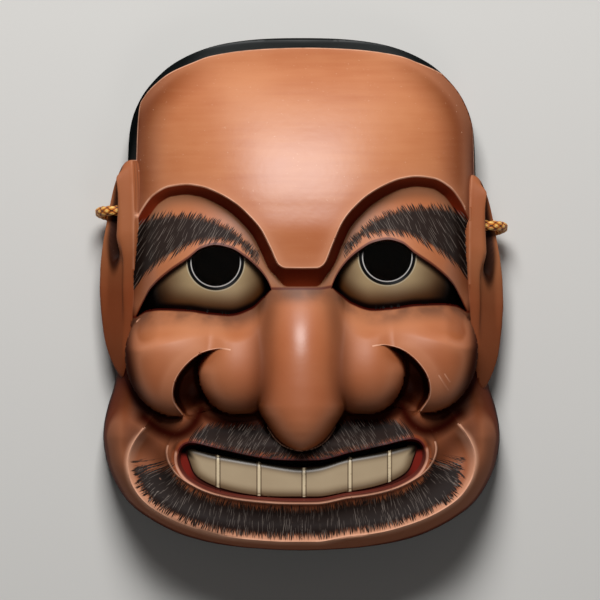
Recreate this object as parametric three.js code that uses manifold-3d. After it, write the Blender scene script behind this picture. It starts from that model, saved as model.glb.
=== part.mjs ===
// A carved and lacquered wooden stage mask with a bald forehead, raised brow edge, round
// cheeks, broad nose, painted beard hollow and one row of teeth. It lies on its rim with the
// face up: +Z is the way the face looks, +Y points to the forehead. Millimetres.
// A braided silk cord comes out of each ear, passes behind it and is coiled in the hollow.

import * as THREE from 'three';
import { mergeVertices } from 'three/addons/utils/BufferGeometryUtils.js';
import Module from 'manifold-3d';

const wasm = await Module();
wasm.setup();

// Driving dimensions
const halfHeight = 103; // from the middle to the top and to the chin
const jawHalfWidth = 79.6;
const rimWall = 6; // wood left at the rim
const skullTop = 61; // height of the forehead over the rim plane
const noseTop = 67.3;
const lipHeight = 51;
const browLift = 3.2; // the carver set the right brow, eye and mouth corner higher
const eyeLift = 2.1;
const mouthLift = 1.5;
const foreheadShift = 1.5; // the forehead sits this far to the right of the nose
const ledgeWall = { centre: 7.6, arch: 4.3 }; // width of the slope under the brow edge
const lidThickness = 2.6;
const lidEdge = 0.8;
const eyeCentre = { x: 34.3, y: 13, z: 49.5 };
const eyeCurve = { x: 30, y: 27 }; // radii of curvature of the eyeball
const pupilRadius = 9.6;
// A bulb has a reach of its own towards the nose (inner) and upwards, where it may run out gently
const cheek = {
  x: 50, y: -24, z: 41, rise: 17.8, rx: 20.8, inner: 30, ry: 24.8, upper: 22, runOut: 0.3,
};
const wing = {
  x: 26, y: -30.5, z: 43, rise: 18, rx: 15.4, inner: 30, ry: 17.6, upper: 33, runOut: 0.7,
};
const underWing = 8; // depth of the hollow under the nostrils
const lidRise = 1.2; // how steeply the cheek rises below the lower lid
const foldDepth = { edge: 5, wing: 11 }; // of the crescent beside each nostril
const dishDepth = 10; // of the hollow round the mouth
const rimBead = 1.2;
const toothSetBack = 3;
const gumSetBack = 4.4;
const toothGaps = [-33.4, -17, 1, 19.4, 35.2];
const toothGapHalf = 0.9;
const toothGapDepth = 0.8;
const nostril = { x: 24, y: -43.8, z: 44.5, rx: 6, ry: 4.6, rz: 3.5 };
const earDrop = 6; // the right ear is set this much lower
const earThickness = 5;
const rimArch = { y: 22, halfLength: 36, height: 7 };
const cordRadius = 2.1;
const holeRadius = 2.7;
const cordHole = { u: 14.4, v: 33.8 }; // place on the left ear
const knotRadius = 5.4;
const coil = { x: 28, y: -32, middle: 23, lift: 1.2 }; // centre, radius at the middle of its turns
const endKnot = { x: 34.45, y: -43.2 };
const facets = { brow: 8, nose: 4.3, rest: 5.6 }; // sizes of the plain facets

// Half outlines on the +X side, from the chin to the top, mirrored by closed()
const outlineHalf = [
  [0, -halfHeight], [17.4, -102.3], [28.6, -101.2], [39.8, -99.2], [51, -95.6], [62.2, -89.6],
  [70.6, -82.5], [77, -71.5], [jawHalfWidth, -61], [jawHalfWidth, -53], [78, -45], [75.5, -37],
  [74, -28], [73, -10], [72, 10], [70.5, 30], [70, 50], [69, 66], [66, 76], [60.5, 84.5], [51, 93],
  [37, 99.3], [20, 102.3], [0, halfHeight],
];
const skinEdge = [
  [0, 98.9], [22, 98], [37, 95.8], [45, 93], [54, 89], [60, 84.5], [64.5, 79.5], [66.8, 73],
  [67.8, 50], [68, 20],
];
const dishHalf = [
  [0, -98.8], [12, -98.6], [29, -97], [40.2, -94.4], [52, -90], [62, -83.8], [67.4, -77],
  [69.5, -70.2], [69.1, -64], [66.4, -58], [62, -52], [57.5, -45], [54, -38], [46, -33], [34, -32],
  [15, -31], [0, -31],
];
const muzzleHalf = [
  [0, -83.7], [12, -83.4], [26, -81.9], [37, -79.3], [45, -75.6], [50, -71.9], [53.2, -67],
  [53.9, -62], [51.6, -57], [46.5, -52.3], [42.5, -48.5], [39.5, -44], [33, -39], [18, -37],
  [0, -37],
];
const mouthHalf = [
  [0, -82.6], [12, -82.2], [26, -80.8], [37, -78.2], [45, -74], [48.5, -69.5], [49.4, -64.5],
  [47.5, -60.5], [43, -59.3], [34, -61.3], [23, -63.8], [12, -65.7], [0, -66.2],
];
const teethHalf = [
  [0, -81], [12, -80.9], [23, -79.8], [34, -77], [41.5, -73], [44.4, -67.8], [45, -61.8], [34, -64],
  [17, -66.8], [0, -69.2],
];
const crescentLine = [
  [27, -22.4], [30.5, -21.7], [34.4, -21.7], [40, -23.3], [45.2, -27], [49.4, -32.2], [51.3, -37.4],
  [51.1, -42.6], [48.3, -47.3], [44.5, -52], [41, -57],
];

// Profiles: [place, value] knots
const halfWidthAt = [
  [-103, 80], [-53, 80], [-40, 77], [-28, 74.5], [0, 72.6], [30, 70.8], [60, 70], [103, 70],
];
const skullAt = [
  [-60, 60], [10, 60.6], [24, skullTop], [36, 59.2], [47, 56.4], [58, 52.6], [70, 47.3], [82, 40.8],
  [92, 34], [99, 28], [103, 24],
];
const faceAt = [
  [-103, 45.5], [-99, 47], [-85, 48.5], [-65, 50], [-30, 50], [0, 50], [10, 50], [25, 49], [36, 50],
  [44, 52], [60, 54.5],
];
const ledgeAt = [
  [0, 10.6], [6.3, 10.7], [8.8, 11.8], [12.2, 18.6], [16, 26], [20.2, 31], [25.8, 36.2],
  [32.6, 40.4], [39.8, 43.3], [46, 44.2], [53, 43.4], [59.4, 40], [64.5, 33.5], [68, 26], [72, 16],
];
const upperLidAt = [
  [12, 2], [13.5, 5.5], [17, 10.2], [23, 15.5], [28.6, 18.7], [34.6, 19.9], [39.8, 18.6],
  [45.4, 14.4], [53.8, 8.6], [60.6, 2.2], [63.8, -3.6], [66.6, -9.4],
];
const lowerLidAt = [
  [12, 2], [15.6, -2], [20.2, -6], [28.6, -8.6], [37, -8], [45.4, -6.8], [56.6, -6.4], [62, -7],
  [66.6, -9.4],
];
const noseWidthAt = [
  [-62.5, 0], [-62.2, 2.4], [-61.2, 5.6], [-59.5, 8.5], [-57, 11], [-54, 13], [-51, 14.8], [-47.5, 17],
  [-44, 18.4], [-36, 19.2], [-28, 19.5], [-18, 19.4], [-8, 18], [0, 16.8], [6, 16.4],
];
const noseHeightAt = [
  [-62.5, 55.5], [-61.5, 58], [-59.5, 60.8], [-57, 63], [-54, 65], [-50, 66.5], [-44, noseTop],
  [-38, 67.2], [-32, 66.7], [-26, 65.9], [-20, 64.5], [-14, 62.5], [-8, 59.8], [-2, 56.6], [4, 53],
  [12, 46],
];
const edgeRoundAt = [[0, 4.2], [0.36, 4.6], [0.45, 7], [0.72, 7.5], [0.86, 8], [0.93, 5], [1, 4.6]];
const sideWallAt = [[0, 26], [0.2, 24], [0.35, 14], [0.5, 10], [0.8, 10], [1, 16]];
const hollowAt = [
  [-98, 28], [-75, 31], [-52, 30.5], [-35, 30.5], [0, 33], [12, 37], [25, 41], [40, 45], [58, 44],
  [75, 37], [88, 28], [98, 19],
];
const noseHollow = { x: 0, y: -28, z: 28, rx: 11, ry: 23, rz: 28 };

// Curve helpers
const clamp = (t) => Math.min(1, Math.max(0, t));
const mix = (a, b, t) => a + (b - a) * t;
const bell = (t) => Math.exp(-t * t);

function ease(from, to, t) {
  const s = clamp((t - from) / (to - from));
  return s * s * (3 - 2 * s);
}

function softMax(a, b, k) {
  const h = clamp(0.5 + (0.5 * (a - b)) / k);
  return mix(b, a, h) + k * h * (1 - h);
}

const softMin = (a, b, k) => -softMax(-a, -b, k);

// A smooth curve through knots that never swings past them
function profile(knots, t) {
  const last = knots.length - 1;
  const at = Math.min(knots[last][0], Math.max(knots[0][0], t));
  let i = 0;
  while (i < last - 1 && at > knots[i + 1][0]) i += 1;
  const slope = (j) => (knots[j + 1][1] - knots[j][1]) / (knots[j + 1][0] - knots[j][0]);
  const tangent = (j) => {
    if (j === 0) return slope(0);
    if (j === last) return slope(last - 1);
    const before = slope(j - 1);
    const after = slope(j);
    return before * after > 0 ? (2 * before * after) / (before + after) : 0;
  };
  const h = knots[i + 1][0] - knots[i][0];
  const u = (at - knots[i][0]) / h;
  const v = 1 - u;
  return (
    knots[i][1] * (1 + 2 * u) * v * v + tangent(i) * h * u * v * v
    + knots[i + 1][1] * u * u * (3 - 2 * u) - tangent(i + 1) * h * u * u * v
  );
}

function spline(points, closedCurve, divisions = 4) {
  const curve = new THREE.CatmullRomCurve3(
    points.map(([x, y]) => new THREE.Vector3(x, y, 0)), closedCurve, 'catmullrom', 0.5,
  );
  return curve.getPoints(points.length * divisions).map((p) => [p.x, p.y]);
}

function closed(half) {
  const other = half.filter(([x]) => x > 0.01).map(([x, y]) => [-x, y]).reverse();
  return spline([...half, ...other], true);
}

// Signed distance to a line, positive on its left, and the share of its length passed there
function nearest(line, x, y) {
  let best = Infinity;
  let side = 0;
  let share = 0;
  let passed = 0;
  for (let i = 0; i < line.length - 1; i += 1) {
    const [ax, ay] = line[i];
    const bx = line[i + 1][0] - ax;
    const by = line[i + 1][1] - ay;
    const length = Math.hypot(bx, by);
    if (length < 1e-9) continue;
    const t = clamp(((x - ax) * bx + (y - ay) * by) / (length * length));
    const gap = Math.hypot(x - ax - t * bx, y - ay - t * by);
    const across = (bx * (y - ay) - by * (x - ax)) / length;
    if (gap < best - 1e-7 || (gap < best + 1e-7 && Math.abs(across) > Math.abs(side))) {
      best = gap;
      side = across;
      share = passed + t * length;
    }
    passed += length;
  }
  return { distance: side < 0 ? -best : best, share: share / passed };
}

const outline = closed(outlineHalf);
const dish = closed(dishHalf);
const muzzle = closed(muzzleHalf);
const mouth = closed(mouthHalf);
const teeth = closed(teethHalf);
const crescent = spline(crescentLine, false);
const skin = spline([...skinEdge.slice(1).reverse().map(([x, y]) => [-x, y]), ...skinEdge], false);
const ledge = Array.from({ length: 97 }, (_, i) => i * 1.5 - 72)
  .map((x) => [x, profile(ledgeAt, Math.abs(x))]);

// Forms of the face
const lifted = (x, y, lift) => y - lift * ease(6, 20, x);
const lipAt = (x) => lipHeight * Math.sqrt(Math.max(0, 1 - (Math.abs(x) / 84) ** 3));

// How the head curves back towards its sides
const falling = (x, width) => Math.sqrt(Math.max(0, 1 - (Math.abs(x) / (1.05 * width)) ** 2.6));
// The jaw is fuller towards its sides
const jawFalling = (x, width) => Math.sqrt(Math.max(0, 1 - (Math.abs(x) / (1.12 * width)) ** 4));

function bulb(form, x, y) {
  const inward = x < form.x;
  const upward = y > form.y;
  const across = ((x - form.x) / (inward ? form.inner : form.rx)) ** 2;
  const along = ((y - form.y) / (upward ? form.upper : form.ry)) ** 2;
  const q = across + along;
  if (q >= 1) return -99;
  const gentle = ((inward ? across : 0) + (upward ? along : 0)) / (q + 1e-9);
  return form.z + form.rise * (1 - q) ** (0.5 + form.runOut * gentle);
}

// The plain shell before the features, rounded over towards the outline
function shell(x, y, centreProfile, shift = 0) {
  const edge = nearest(outline, x, y);
  const fromTop = Math.abs(edge.share * 2 - 1);
  const wall = profile(sideWallAt, fromTop);
  const t = clamp(edge.distance / profile(edgeRoundAt, fromTop));
  const width = profile(halfWidthAt, y);
  const section = mix(falling(x - shift, width), jawFalling(x - shift, width), ease(-44, -58, y));
  const full = profile(centreProfile, y) * section;
  return wall + (full - wall) * Math.sqrt(1 - (1 - t) ** 2);
}

// The lower face: muzzle inside, then the concave dish that rises to its sharp rim
function lowerFace(x, y, side) {
  const inDish = nearest(dish, x, y).distance;
  const inMuzzle = nearest(muzzle, x, y).distance;
  const roundLip = 1.2 * bell(inMuzzle / 1.6);
  const lipGroove = 1.1 * bell((inMuzzle - 2.2) / 1.2) * ease(30, 44, Math.abs(x));
  if (inMuzzle > 0) return lipAt(x) - lipGroove - roundLip;
  const bead = rimBead * bell(inDish / 2) * ease(-46, -54, y);
  if (inDish <= 0) return side + bead - roundLip;
  const u = -inMuzzle / (inDish - inMuzzle);
  const sunk = dishDepth * (1 - Math.exp(-3.2 * u)) * (1 - u) ** 0.8;
  return mix(lipAt(x), side, u) - sunk + bead - roundLip;
}

function eyeball(x, y) {
  const outerCorner = 0.1 * Math.max(x - 57, 0) ** 2;
  const across = (x - eyeCentre.x) ** 2 / (2 * eyeCurve.x);
  return eyeCentre.z - across - (y - eyeCentre.y + 1) ** 2 / (2 * eyeCurve.y) - outerCorner;
}

function cheeks(x, y, under) {
  const yMouth = lifted(x, y, mouthLift);
  const ax = Math.abs(x);
  const full = softMax(under, bulb(cheek, ax, yMouth), 3);
  const fold = nearest(crescent, ax, yMouth);
  if (fold.distance > 0) return full;
  const open = ease(0, 0.16, fold.share) * ease(0.98, 0.74, fold.share);
  const deep = mix(foldDepth.edge, foldDepth.wing, ease(0, 7, -fold.distance));
  const pit = mix(full, Math.min(under, 47) - deep, open);
  return mix(full, pit, ease(0, mix(0.8, 4, ease(0.78, 0.95, fold.share)), -fold.distance));
}

// Cheeks and nostrils rise from the lower lid at an even slope
function belowEyes(x, y, z, side) {
  const ax = Math.abs(x);
  const lid = profile(lowerLidAt, ax);
  const belowLid = lid - lifted(x, y, eyeLift);
  if (belowLid <= -1) return z;
  const lidShelf = eyeball(ax, lid) + lidThickness;
  const lidEnds = Math.max(ease(58, 68, ax), ease(18, 11, ax));
  const shelf = mix(lidShelf, Math.max(side, lidShelf), lidEnds);
  const slopeUp = shelf + 2 + lidRise * Math.max(belowLid, 0) + lidEnds;
  return softMin(z, slopeUp + 14 * ease(-14, -30, y), 4);
}

// The nostrils, which pass into the cheeks at their upper outer side
function wings(x, y) {
  const merging = 0.08 * Math.max(Math.abs(x) - 30, 0) ** 2 * ease(-32, -18, y);
  return bulb(wing, Math.abs(x), y) - merging;
}

function nose(x, y) {
  const wide = profile(noseWidthAt, y);
  if (y > 12 || y < -62.4 || Math.abs(x) >= wide) return -99;
  const foot = mix(44, 41, ease(-45, -30, y));
  const crown = Math.sqrt(1 - (x / wide) ** 2);
  return foot + (profile(noseHeightAt, y) - foot) * crown;
}

function teethRow(x, y) {
  if (nearest(teeth, x, y).distance <= 0) return lipAt(x) - gumSetBack;
  const gap = toothGaps.some((at) => Math.abs(x - at) < toothGapHalf);
  return lipAt(x) - toothSetBack - (gap ? toothGapDepth : 0);
}

function faceHeight(x, y) {
  const ax = Math.abs(x);
  const yMouth = lifted(x, y, mouthLift);
  const yEye = lifted(x, y, eyeLift);
  const ball = eyeball(ax, yEye);
  const side = shell(x, y, faceAt);
  let z = y > -31 ? side : lowerFace(x, yMouth, side);
  z -= underWing * ease(-61, -50, y) * ease(-36, -44, y) * ease(50, 31, ax);
  if (yEye > -20) z = softMax(z, ball + lidThickness, 6);
  z = cheeks(x, y, z);
  z = softMax(z, wings(x, y), mix(1, 8, ease(-40, -26, y)));
  z = belowEyes(x, y, z, side);
  z = softMax(z, nose(x, y), mix(1.4, 5, ease(-50, -34, y)));
  const inMouth = nearest(mouth, x, yMouth).distance;
  if (inMouth > 0) z = mix(z, teethRow(x, yMouth), clamp(inMouth));
  const inLids = Math.min(profile(upperLidAt, ax) - yEye, yEye - profile(lowerLidAt, ax));
  if (inLids > 0) z = mix(z, ball, clamp(inLids / lidEdge));
  return overLedge(x, y, z);
}

// The raised forehead plate ends in a sharp edge over the brows and in the hair line at the top
function overLedge(x, y, under) {
  const above = nearest(ledge, x, lifted(x, y, browLift)).distance;
  const slope = mix(ledgeWall.centre, ledgeWall.arch, ease(6, 11, Math.abs(x)));
  if (above < -slope) return under;
  const hairStep = 0.9 * ease(0, 0.6, nearest(skin, x - foreheadShift, y).distance);
  const plate = shell(x, y, skullAt, foreheadShift) - hairStep;
  return mix(under, plate, clamp(1 + above / slope));
}

// The hollow behind the face, smooth as carvers leave it, with room for the wearer's nose
function hollowHeight(x, y, edge) {
  const dome = profile(hollowAt, y) * falling(x, profile(halfWidthAt, y) - rimWall);
  const rounding = Math.sqrt(1 - (1 - clamp(edge / 13)) ** 2);
  return dome * rounding;
}

// Points for the facets: along every carved line and its foot, then a plain field between
function stepsAlong(line, spacing, offset = 0) {
  const points = line.map(([x, y]) => new THREE.Vector3(x, y, 0));
  const path = new THREE.CatmullRomCurve3(points, false, 'catmullrom', 0);
  path.arcLengthDivisions = points.length * 4;
  const count = Math.max(2, Math.round(path.getLength() / spacing));
  return Array.from({ length: count + 1 }, (_, i) => {
    const p = path.getPointAt(i / count);
    const t = path.getTangentAt(i / count);
    return [p.x - t.y * offset, p.y + t.x * offset];
  });
}

const bothSides = (points) => [...points, ...points.map(([x, y]) => [-x, y])];
const raised = (points, lift) => points.map(([x, y]) => [x, y + lift * ease(6, 20, x)]);
const outlineRing = stepsAlong(outline, 6).slice(0, -1);

// The foot line of a bulb or an oval
function ovalLine(form, grow = 0, count = 24) {
  return Array.from({ length: count }, (_, i) => (i / count) * Math.PI * 2).map((a) => {
    const rx = Math.cos(a) < 0 && form.inner ? form.inner : form.rx;
    const ry = Math.sin(a) > 0 && form.upper ? form.upper : form.ry;
    return [form.x + (rx + grow) * Math.cos(a), form.y + (ry + grow) * Math.sin(a)];
  });
}

const noseFoot = Array.from({ length: 13 }, (_, i) => mix(-62.3, -46, (i / 12) ** 1.4))
  .map((y) => [profile(noseWidthAt, y), y]);

// Each entry is the room that its points keep from those before them, and the points
function carvedPoints() {
  const lid = (knots, inset, from, to) => Array.from({ length: 18 }, (_, i) => mix(12, 66.6, i / 17))
    .slice(from, to).map((x) => [x, profile(knots, x) + inset]);
  const below = (points, y) => points.filter((p) => p[1] < y);
  const gapSides = [-toothGapHalf - 0.25, -toothGapHalf + 0.1, toothGapHalf - 0.1, toothGapHalf + 0.25];
  const gapEnd = (x, y) => y + 0.0028 * x * x;
  const gapPoints = (x) => gapSides.flatMap((dx) => [-79, -74.5, -70.5].map((y) => [x + dx, gapEnd(x, y)]));
  return [
    [0.5, raised(stepsAlong(ledge, 4), browLift)],
    [0.5, raised(stepsAlong(ledge, 4, -ledgeWall.arch).filter(([x]) => Math.abs(x) > 8), browLift)],
    [0.5, [[-7, 3], [0, 3], [7, 3]]],
    [0.5, raised(bothSides(lid(upperLidAt, 0, 0, 18)), eyeLift)],
    [0.5, raised(bothSides(lid(lowerLidAt, 0, 1, 17)), eyeLift)],
    [0.5, raised(bothSides(lid(upperLidAt, -lidEdge, 1, 16)), eyeLift)],
    [0.5, raised(bothSides(lid(lowerLidAt, lidEdge, 2, 15)), eyeLift)],
    [0.5, raised(bothSides(stepsAlong(crescent, 4)), mouthLift)],
    [0.5, raised(bothSides(stepsAlong(crescent, 4, -0.8).slice(2, -2)), mouthLift)],
    [0.5, raised(stepsAlong(mouth, 5), mouthLift)],
    [0.5, raised(stepsAlong(mouth, 5, 1), mouthLift)],
    [0.8, raised(below(stepsAlong(teeth, 5, 0.4), -62), mouthLift)],
    [2.4, raised(below(stepsAlong(muzzle, 5), -44), mouthLift)],
    [2, raised(below(stepsAlong(muzzle, 6, -2.6), -44), mouthLift)],
    [0.5, raised(below(stepsAlong(dish, 6.5), -45), mouthLift)],
    [1, raised(below(stepsAlong(dish, 6.5, 2.4), -45), mouthLift)],
    [1, stepsAlong(outline, 6, 1.2)],
    [0.3, raised(toothGaps.flatMap(gapPoints), mouthLift)],
    [1, bothSides(noseFoot.map(([x, y]) => [x + 0.2, y]))],
    [1.5, bothSides(ovalLine(wing, 0.2, 36).filter(([x, y]) => x > wing.x - 8 && y < wing.y + 6))],
    [1.2, bothSides(ovalLine(wing, -1.4, 36).filter(([x, y]) => x > wing.x - 8 && y < wing.y + 4))],
    [2.5, bothSides(ovalLine(cheek, 0, 36).filter(([x, y]) => x > 50 || y < -40))],
    [1.2, bothSides(ovalLine(cheek, -1.5, 36).filter(([x, y]) => x > 50 || y < -40))],
    [3, stepsAlong(outline, 6, 4.3)],
    [3, stepsAlong(outline, 7, 8.6)],
  ];
}

const gapBetween = (p, q) => Math.hypot(p[0] - q[0], p[1] - q[1]);

// A plain field of points in a closed line, clear of the points already there
function field(ring, spacing, kept, margin, wanted = () => true) {
  const xs = ring.map(([x]) => x);
  const ys = ring.map(([, y]) => y);
  const shut = [...ring, ring[0]];
  const points = [...kept];
  for (let row = 0, y = Math.min(...ys); y < Math.max(...ys); row += 1, y += spacing * 0.866) {
    for (let x = Math.min(...xs) + (row % 2) * (spacing / 2); x < Math.max(...xs); x += spacing) {
      const p = [x, y];
      const clear = wanted(x, y) && kept.every((q) => gapBetween(p, q) > spacing * 0.6);
      if (clear && nearest(shut, x, y).distance > margin) points.push(p);
    }
  }
  return points;
}

function facetPoints() {
  const kept = [...outlineRing];
  carvedPoints().forEach(([room, line]) => line.forEach((p) => {
    const clear = kept.every((q) => gapBetween(p, q) > room);
    if (clear && nearest(outline, ...p).distance > 0.8) kept.push(p);
  }));
  const onBrow = (x, y) => y > 48;
  const byNose = (x, y) => y < 6 && y > -62 && Math.abs(x) < 50;
  const brow = field(outlineRing, facets.brow, kept, 4, onBrow);
  const middle = field(outlineRing, facets.nose, brow, 3, byNose);
  return field(outlineRing, facets.rest, middle, 3, (x, y) => !onBrow(x, y) && !byNose(x, y));
}

// Delaunay triangles by adding one point at a time (Bowyer and Watson). A fixed small shift
// keeps four corners from lying on one circle
function triangulate(points) {
  const far = 4000;
  const shifted = points.map(([x, y], i) => [
    x + 0.002 * Math.sin(i * 12.9898), y + 0.002 * Math.sin(i * 78.233),
  ]);
  const all = [...shifted, [-far, -far], [far, -far], [0, far]];
  const n = points.length;
  const triangle = (a, b, c) => {
    const [ax, ay] = all[a];
    const bx = all[b][0] - ax;
    const by = all[b][1] - ay;
    const cx = all[c][0] - ax;
    const cy = all[c][1] - ay;
    const d = 2 * (bx * cy - by * cx);
    const ux = (cy * (bx * bx + by * by) - by * (cx * cx + cy * cy)) / d;
    const uy = (bx * (cx * cx + cy * cy) - cx * (bx * bx + by * by)) / d;
    return { corners: [a, b, c], x: ax + ux, y: ay + uy, rr: ux * ux + uy * uy };
  };
  let mesh = [triangle(n, n + 1, n + 2)];
  for (let i = 0; i < n; i += 1) {
    const [x, y] = all[i];
    const border = new Map();
    const rest = [];
    for (const t of mesh) {
      if ((x - t.x) ** 2 + (y - t.y) ** 2 >= t.rr) {
        rest.push(t);
        continue;
      }
      for (const [a, b] of [[0, 1], [1, 2], [2, 0]]) {
        const from = t.corners[a];
        const to = t.corners[b];
        if (border.has(`${to},${from}`)) border.delete(`${to},${from}`);
        else border.set(`${from},${to}`, [from, to]);
      }
    }
    mesh = rest;
    for (const [from, to] of border.values()) mesh.push(triangle(from, to, i));
  }
  return mesh.map((t) => t.corners).filter((t) => t.every((c) => c < n));
}

// Solids
function toManifold(geometry) {
  const plain = geometry.clone();
  plain.deleteAttribute('normal');
  plain.deleteAttribute('uv');
  const merged = mergeVertices(plain, 1e-4);
  return new wasm.Manifold(new wasm.Mesh({
    numProp: 3,
    vertProperties: new Float32Array(merged.attributes.position.array),
    triVerts: new Uint32Array(merged.index.array),
  }));
}

function toGeometry(solid) {
  const mesh = solid.getMesh();
  const geometry = new THREE.BufferGeometry();
  geometry.setAttribute('position', new THREE.Float32BufferAttribute(mesh.vertProperties, 3));
  geometry.setIndex([...mesh.triVerts]);
  geometry.computeVertexNormals();
  return geometry;
}

// A solid over the points: its first ringLength points are its closed edge. place gives the
// top of a point, or its underside
function block(points, ringLength, place, mirrored = false) {
  const ring = points.slice(0, ringLength);
  const shut = [...ring, ring[0]];
  const inside = (t) => {
    const x = (points[t[0]][0] + points[t[1]][0] + points[t[2]][0]) / 3;
    const y = (points[t[0]][1] + points[t[1]][1] + points[t[2]][1]) / 3;
    return nearest(shut, x, y).distance > 1e-6;
  };
  const top = triangulate(points).filter(inside);
  const n = points.length;
  const vertices = [true, false].flatMap((onTop) => points.map((p) => place(...p, onTop)));
  const triangles = [...top, ...top.map(([a, b, c]) => [n + a, n + c, n + b])];
  for (let i = 0; i < ringLength; i += 1) {
    const next = (i + 1) % ringLength;
    triangles.push([i, n + i, n + next], [i, n + next, next]);
  }
  const geometry = new THREE.BufferGeometry();
  geometry.setAttribute('position', new THREE.Float32BufferAttribute(vertices.flat(), 3));
  geometry.setIndex(triangles.flatMap(([a, b, c]) => (mirrored ? [a, c, b] : [a, b, c])));
  return toManifold(geometry);
}

// The face side as a solid block down to the rim plane
function faceSolid() {
  return block(facetPoints(), outlineRing.length, (x, y, top) => [x, y, top ? faceHeight(x, y) : 0]);
}

function hollowSolid() {
  const ring = stepsAlong(outline, 11, rimWall).slice(0, -1);
  const shoulders = [1.5, 4.5, 9].flatMap((inset) => stepsAlong(outline, 12, rimWall + inset));
  const points = field(ring, 11, [...ring, ...shoulders], 4);
  return block(points, ring.length, (x, y, top) => {
    if (!top) return [x, y, -2];
    const edge = nearest(outline, x, y).distance - rimWall;
    return [x, y, edge < 0.2 ? 0.5 : hollowHeight(x, y, edge)];
  });
}

function oval(form, turns = 16) {
  const geometry = new THREE.SphereGeometry(1, turns, turns / 2);
  geometry.scale(form.rx, form.ry, form.rz);
  geometry.translate(form.x, form.y, form.z);
  return toManifold(geometry);
}

function prism(outlinePoints, fromZ, toZ) {
  const shape = new THREE.Shape(outlinePoints.map(([x, y]) => new THREE.Vector2(x, y)));
  const geometry = new THREE.ExtrudeGeometry(shape, { depth: toZ - fromZ, bevelEnabled: false });
  geometry.translate(0, 0, fromZ);
  return toManifold(geometry);
}

// A round pupil hole whose top is cut off by the upper lid
function pupilHole(sign) {
  const lift = sign > 0 ? eyeLift : 0;
  const rim = Array.from({ length: 24 }, (_, i) => (i / 24) * Math.PI * 2).map((a) => {
    const x = eyeCentre.x + pupilRadius * Math.cos(a);
    const y = Math.min(eyeCentre.y + pupilRadius * Math.sin(a), profile(upperLidAt, x) - lidEdge);
    return [sign * x, y + lift];
  });
  return prism(sign > 0 ? rim : rim.reverse(), -3, 60);
}

// The slit between the upper lip and the teeth
function mouthSlit() {
  const xs = Array.from({ length: 19 }, (_, i) => (i - 9) * 4.7);
  const upper = mouthHalf.slice(8).reverse();
  const lower = teethHalf.slice(6).reverse();
  const edge = (knots, inset) => xs.map((x) => [
    x, profile(knots, Math.abs(x)) + inset + mouthLift * ease(6, 20, x),
  ]);
  return prism([...edge(lower, 0), ...edge(upper, -0.4).reverse()], -3, 60);
}

// A shallow arch through both sides of the rim, where the cords pass
function rimArchCutter() {
  const radius = (rimArch.halfLength ** 2 + rimArch.height ** 2) / (2 * rimArch.height);
  const geometry = new THREE.CylinderGeometry(radius, radius, 200, 96);
  geometry.rotateZ(Math.PI / 2);
  geometry.translate(0, rimArch.y, rimArch.height - radius);
  return toManifold(geometry);
}

// The ear: a leaf laid along the side wall. u runs from its front edge back, v up the head
const earShape = [
  [13, 54], [20, 50.5], [26, 44], [28.5, 34], [28, 18], [27, 0], [25.5, -14], [21.5, -26],
  [15, -33], [9, -33.8], [4, -29], [1, -18], [0, 0], [0, 28], [1.5, 44], [6, 52],
];
const earFlareAt = [
  [-33.8, 8.5], [-29, 10.3], [-18, 12], [-5.8, 12.9], [10, 12.2], [19, 11], [29, 8.9], [38, 7.2],
  [47.4, 5.4], [54, 3],
];
const earFront = { x: 67, z: 30 };
const earSlope = 0.5;
const earDepth = 28.5;
const earHollow = { x: 15.5, y: 30, rx: 6.6, ry: 16 };

const earRing = stepsAlong(spline(earShape, true).reverse(), 5).slice(0, -1);

// Relief of the ear over its leaf: rolled rim, hollow with the cord hole, flap in front, lobe
function earRelief(u, v) {
  const edge = nearest([...earRing, earRing[0]], u, v).distance;
  if (edge < 0.2) return 0;
  const rim = 1.7 * bell((edge - 3) / 2.2) * ease(-14, 4, v);
  const reach = Math.hypot((u - earHollow.x) / earHollow.rx, (v - earHollow.y) / earHollow.ry);
  const hollow = 6.5 * ease(1.15, 0.7, reach);
  const flap = 3.4 * bell((u - 6.5) / 3.4) * ease(12, 24, v) * ease(52, 46, v);
  const lobe = 1.4 * bell((v + 18) / 12);
  return 2 + rim - hollow + Math.max(flap, lobe) * ease(0, 3, edge);
}

function earPoint(sign, u, v, out) {
  const x = earFront.x + profile(earFlareAt, v) * (u / earDepth) + out * 0.887;
  const y = v - (sign > 0 ? earDrop : 0);
  const front = earFront.z - 4.5 * ease(26, 4, v);
  return [sign * x, y, front - u * earSlope + out * 0.46];
}

function earSolid(sign) {
  const rims = [1.6, 3.4, 5.6].flatMap((inset) => stepsAlong([...earRing, earRing[0]], 5.5, inset));
  const hollow = [...ovalLine(earHollow, 1), ...ovalLine(earHollow, -2, 18)];
  const kept = [...earRing];
  [...rims, ...hollow].forEach((p) => {
    if (kept.every((q) => gapBetween(p, q) > 1.3)) kept.push(p);
  });
  const points = field(earRing, 5, kept, 2);
  const place = (u, v, top) => earPoint(sign, u, v, top ? earRelief(u, v) : -earThickness);
  return block(points, earRing.length, place, sign < 0);
}

// The hole runs from the ear's hollow through the side wall into the mask
function cordHoleCutter(sign) {
  const [x, y, z] = earPoint(sign, cordHole.u, cordHole.v, 0);
  const geometry = new THREE.CylinderGeometry(holeRadius, holeRadius, 34, 12);
  geometry.rotateZ(Math.PI / 2);
  geometry.translate(x - sign * 7, y, z);
  return toManifold(geometry);
}

function maskSolid() {
  let solid = faceSolid();
  for (const sign of [-1, 1]) solid = solid.add(earSolid(sign));
  solid = solid.subtract(hollowSolid()).subtract(oval(noseHollow));
  solid = solid.subtract(mouthSlit()).subtract(rimArchCutter());
  for (const sign of [-1, 1]) {
    const nostrilPit = oval({ ...nostril, x: sign * nostril.x }, 12);
    solid = solid.subtract(pupilHole(sign)).subtract(nostrilPit).subtract(cordHoleCutter(sign));
  }
  return solid;
}

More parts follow.
